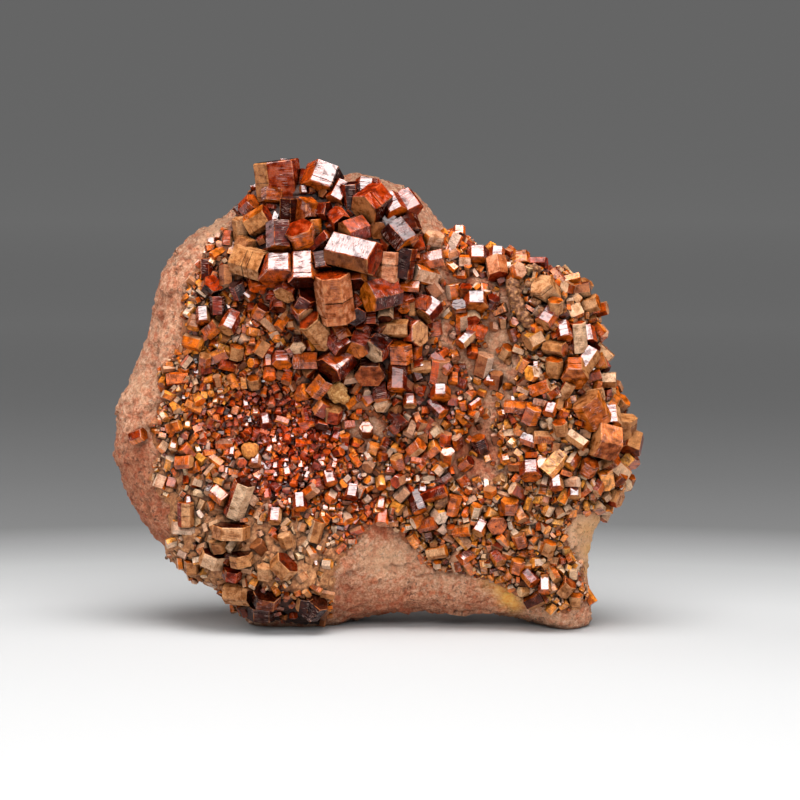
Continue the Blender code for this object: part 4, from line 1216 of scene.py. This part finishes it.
def add_floor():
    """A pale table top, its colour painted lighter around the specimen and darker behind it as painted
    shade, emitting painted light further off.
    """
    bm = bmesh.new()
    bmesh.ops.create_circle(bm, cap_ends=True, segments=96, radius=FLOOR_RADIUS)
    mesh = bpy.data.meshes.new("floor")
    bm.to_mesh(mesh)
    bm.free()
    floor = link_into_scene("floor", mesh)
    material, tree, node, place, shader = new_material("table top with painted light and shade")
    away = node("VectorMath", (place, FLOOR_PAINTED_LIGHT_MIDDLE), "Value", operation="DISTANCE")
    near = node("MapRange", (away, 0.15, 0.35))
    # Painted shade: the colour darkens away from the middle
    stops = [(0.0, "#b2b2b2"), (0.25, "#b1b1b1"), (0.5, "#a4a4a4"), (0.8, "#767676")]
    shade = node("ValToRGB", {"Fac": near}, stops=stops)
    # Painted light: the far table top emits light
    far = node("MapRange", (away, 0.4, 1.4))
    stops = [(0.0, "#000000"), (0.16, "#2c2c2c"), (0.43, "#545454"), (1.0, "#646464")]
    painted_glow = node("ValToRGB", {"Fac": far}, stops=stops)
    set_inputs(tree, shader, {"Base Color": shade, "Roughness": 0.9, "Specular IOR Level": 0.1})
    set_inputs(tree, shader, {"Emission Color": painted_glow, "Emission Strength": 1.0})
    mesh.materials.append(material)


def add_lights():
    for name, place, target, size, radiance in LIGHTS:
        light = bpy.data.lights.new(name, "AREA")
        light.shape = "RECTANGLE"
        light.size, light.size_y = size
        light.energy = radiance * math.pi * size[0] * size[1]
        obj = link_into_scene(name, light)
        aim = (Vector(target) - Vector(place)).to_track_quat("-Z", "Y").to_matrix().to_4x4()
        obj.matrix_world = Matrix.Translation(place) @ aim
    world = bpy.data.worlds.new("studio")
    world.use_nodes = True
    background = world.node_tree.nodes["Background"]
    background.inputs["Color"].default_value = (WORLD_GREY, WORLD_GREY, WORLD_GREY, 1)
    bpy.context.scene.world = world
    bpy.context.scene.view_settings.view_transform = "Standard"


def main():
    add_camera()
    add_floor()
    add_lights()
    noise.seed_set(SEED)
    rng = random.Random(SEED)
    crystal_faces = vanadinite()

    solid = clean_copy(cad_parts["matrix"])
    rock = make_rock(solid)
    base = make_crust_base(rock)
    on_crust = grown_surface(solid, CRUST_THICKNESS)
    on_rock = grown_surface(solid, 0)
    ground = shown_surface(rock, base)

    amber_grains = iron_stained_grains("amber grains", ("#8c4410", "#c47428", "#e4a050"))
    ochre_grains = iron_stained_grains("ochre grains", ("#84481a", "#b07838", "#d8ac78"))
    tan_grains = iron_stained_grains("tan grains", ("#3c1c0a", "#70401e", "#b07c4c"))
    make_lumps("golden_button", on_crust, BUTTON, amber_grains, 0.5)
    make_lumps("granular_knob", on_crust, GRANULAR_KNOB, ochre_grains, 1.2)
    make_lumps("tan_balls", on_crust, TAN_BALLS, tan_grains, 0.6)
    make_lumps("arched_lump", on_crust, ARCHED_LUMP, tan_grains, 1.6)

    large = CrystalMesh()
    for group in (UPPER_CLUSTER, LEFT_SLOPE, MIDDLE, RIGHT_RIDGE, LOWER_LEFT, LOWER_RIGHT, BETWEEN):
        add_large(group, on_crust, ground, rng, large)
    large.finish("large_crystals", crystal_faces, "vanadinite_crust")
    gully = CrystalMesh()
    add_large(GULLY_CLUSTER, on_crust, ground, rng, gully)
    gully.finish("gully_crystals", crystal_faces, "gully_cluster")
    for name, crystal in STANDING_ALONE.items():
        single = CrystalMesh()
        add_large([crystal], on_rock, ground, rng, single)
        single.finish(name + "_faces", crystal_faces, name)

    halves = (CrystalMesh(), CrystalMesh())
    gully_small = CrystalMesh()
    larger = large.surface()
    taken = {}
    add_small(base, larger, rng, CRUST_TRIES, halves, CRUST_SPACING, crust_cover, taken, 1.0)
    add_small(base, larger, rng, FILLING_TRIES, halves, CRUST_SPACING, filling_cover, taken, FILLING_SIZE)
    add_small(rock, larger, rng, GULLY_TRIES, (gully_small,), GULLY_SPACING, gully_cover, {}, 1.0)
    gully_small.finish("gully_small_crystals", crystal_faces, "gully_cluster")
    halves[0].finish("small_crystals_left", crystal_faces, "vanadinite_crust")
    halves[1].finish("small_crystals_right", crystal_faces, "vanadinite_crust")


main()
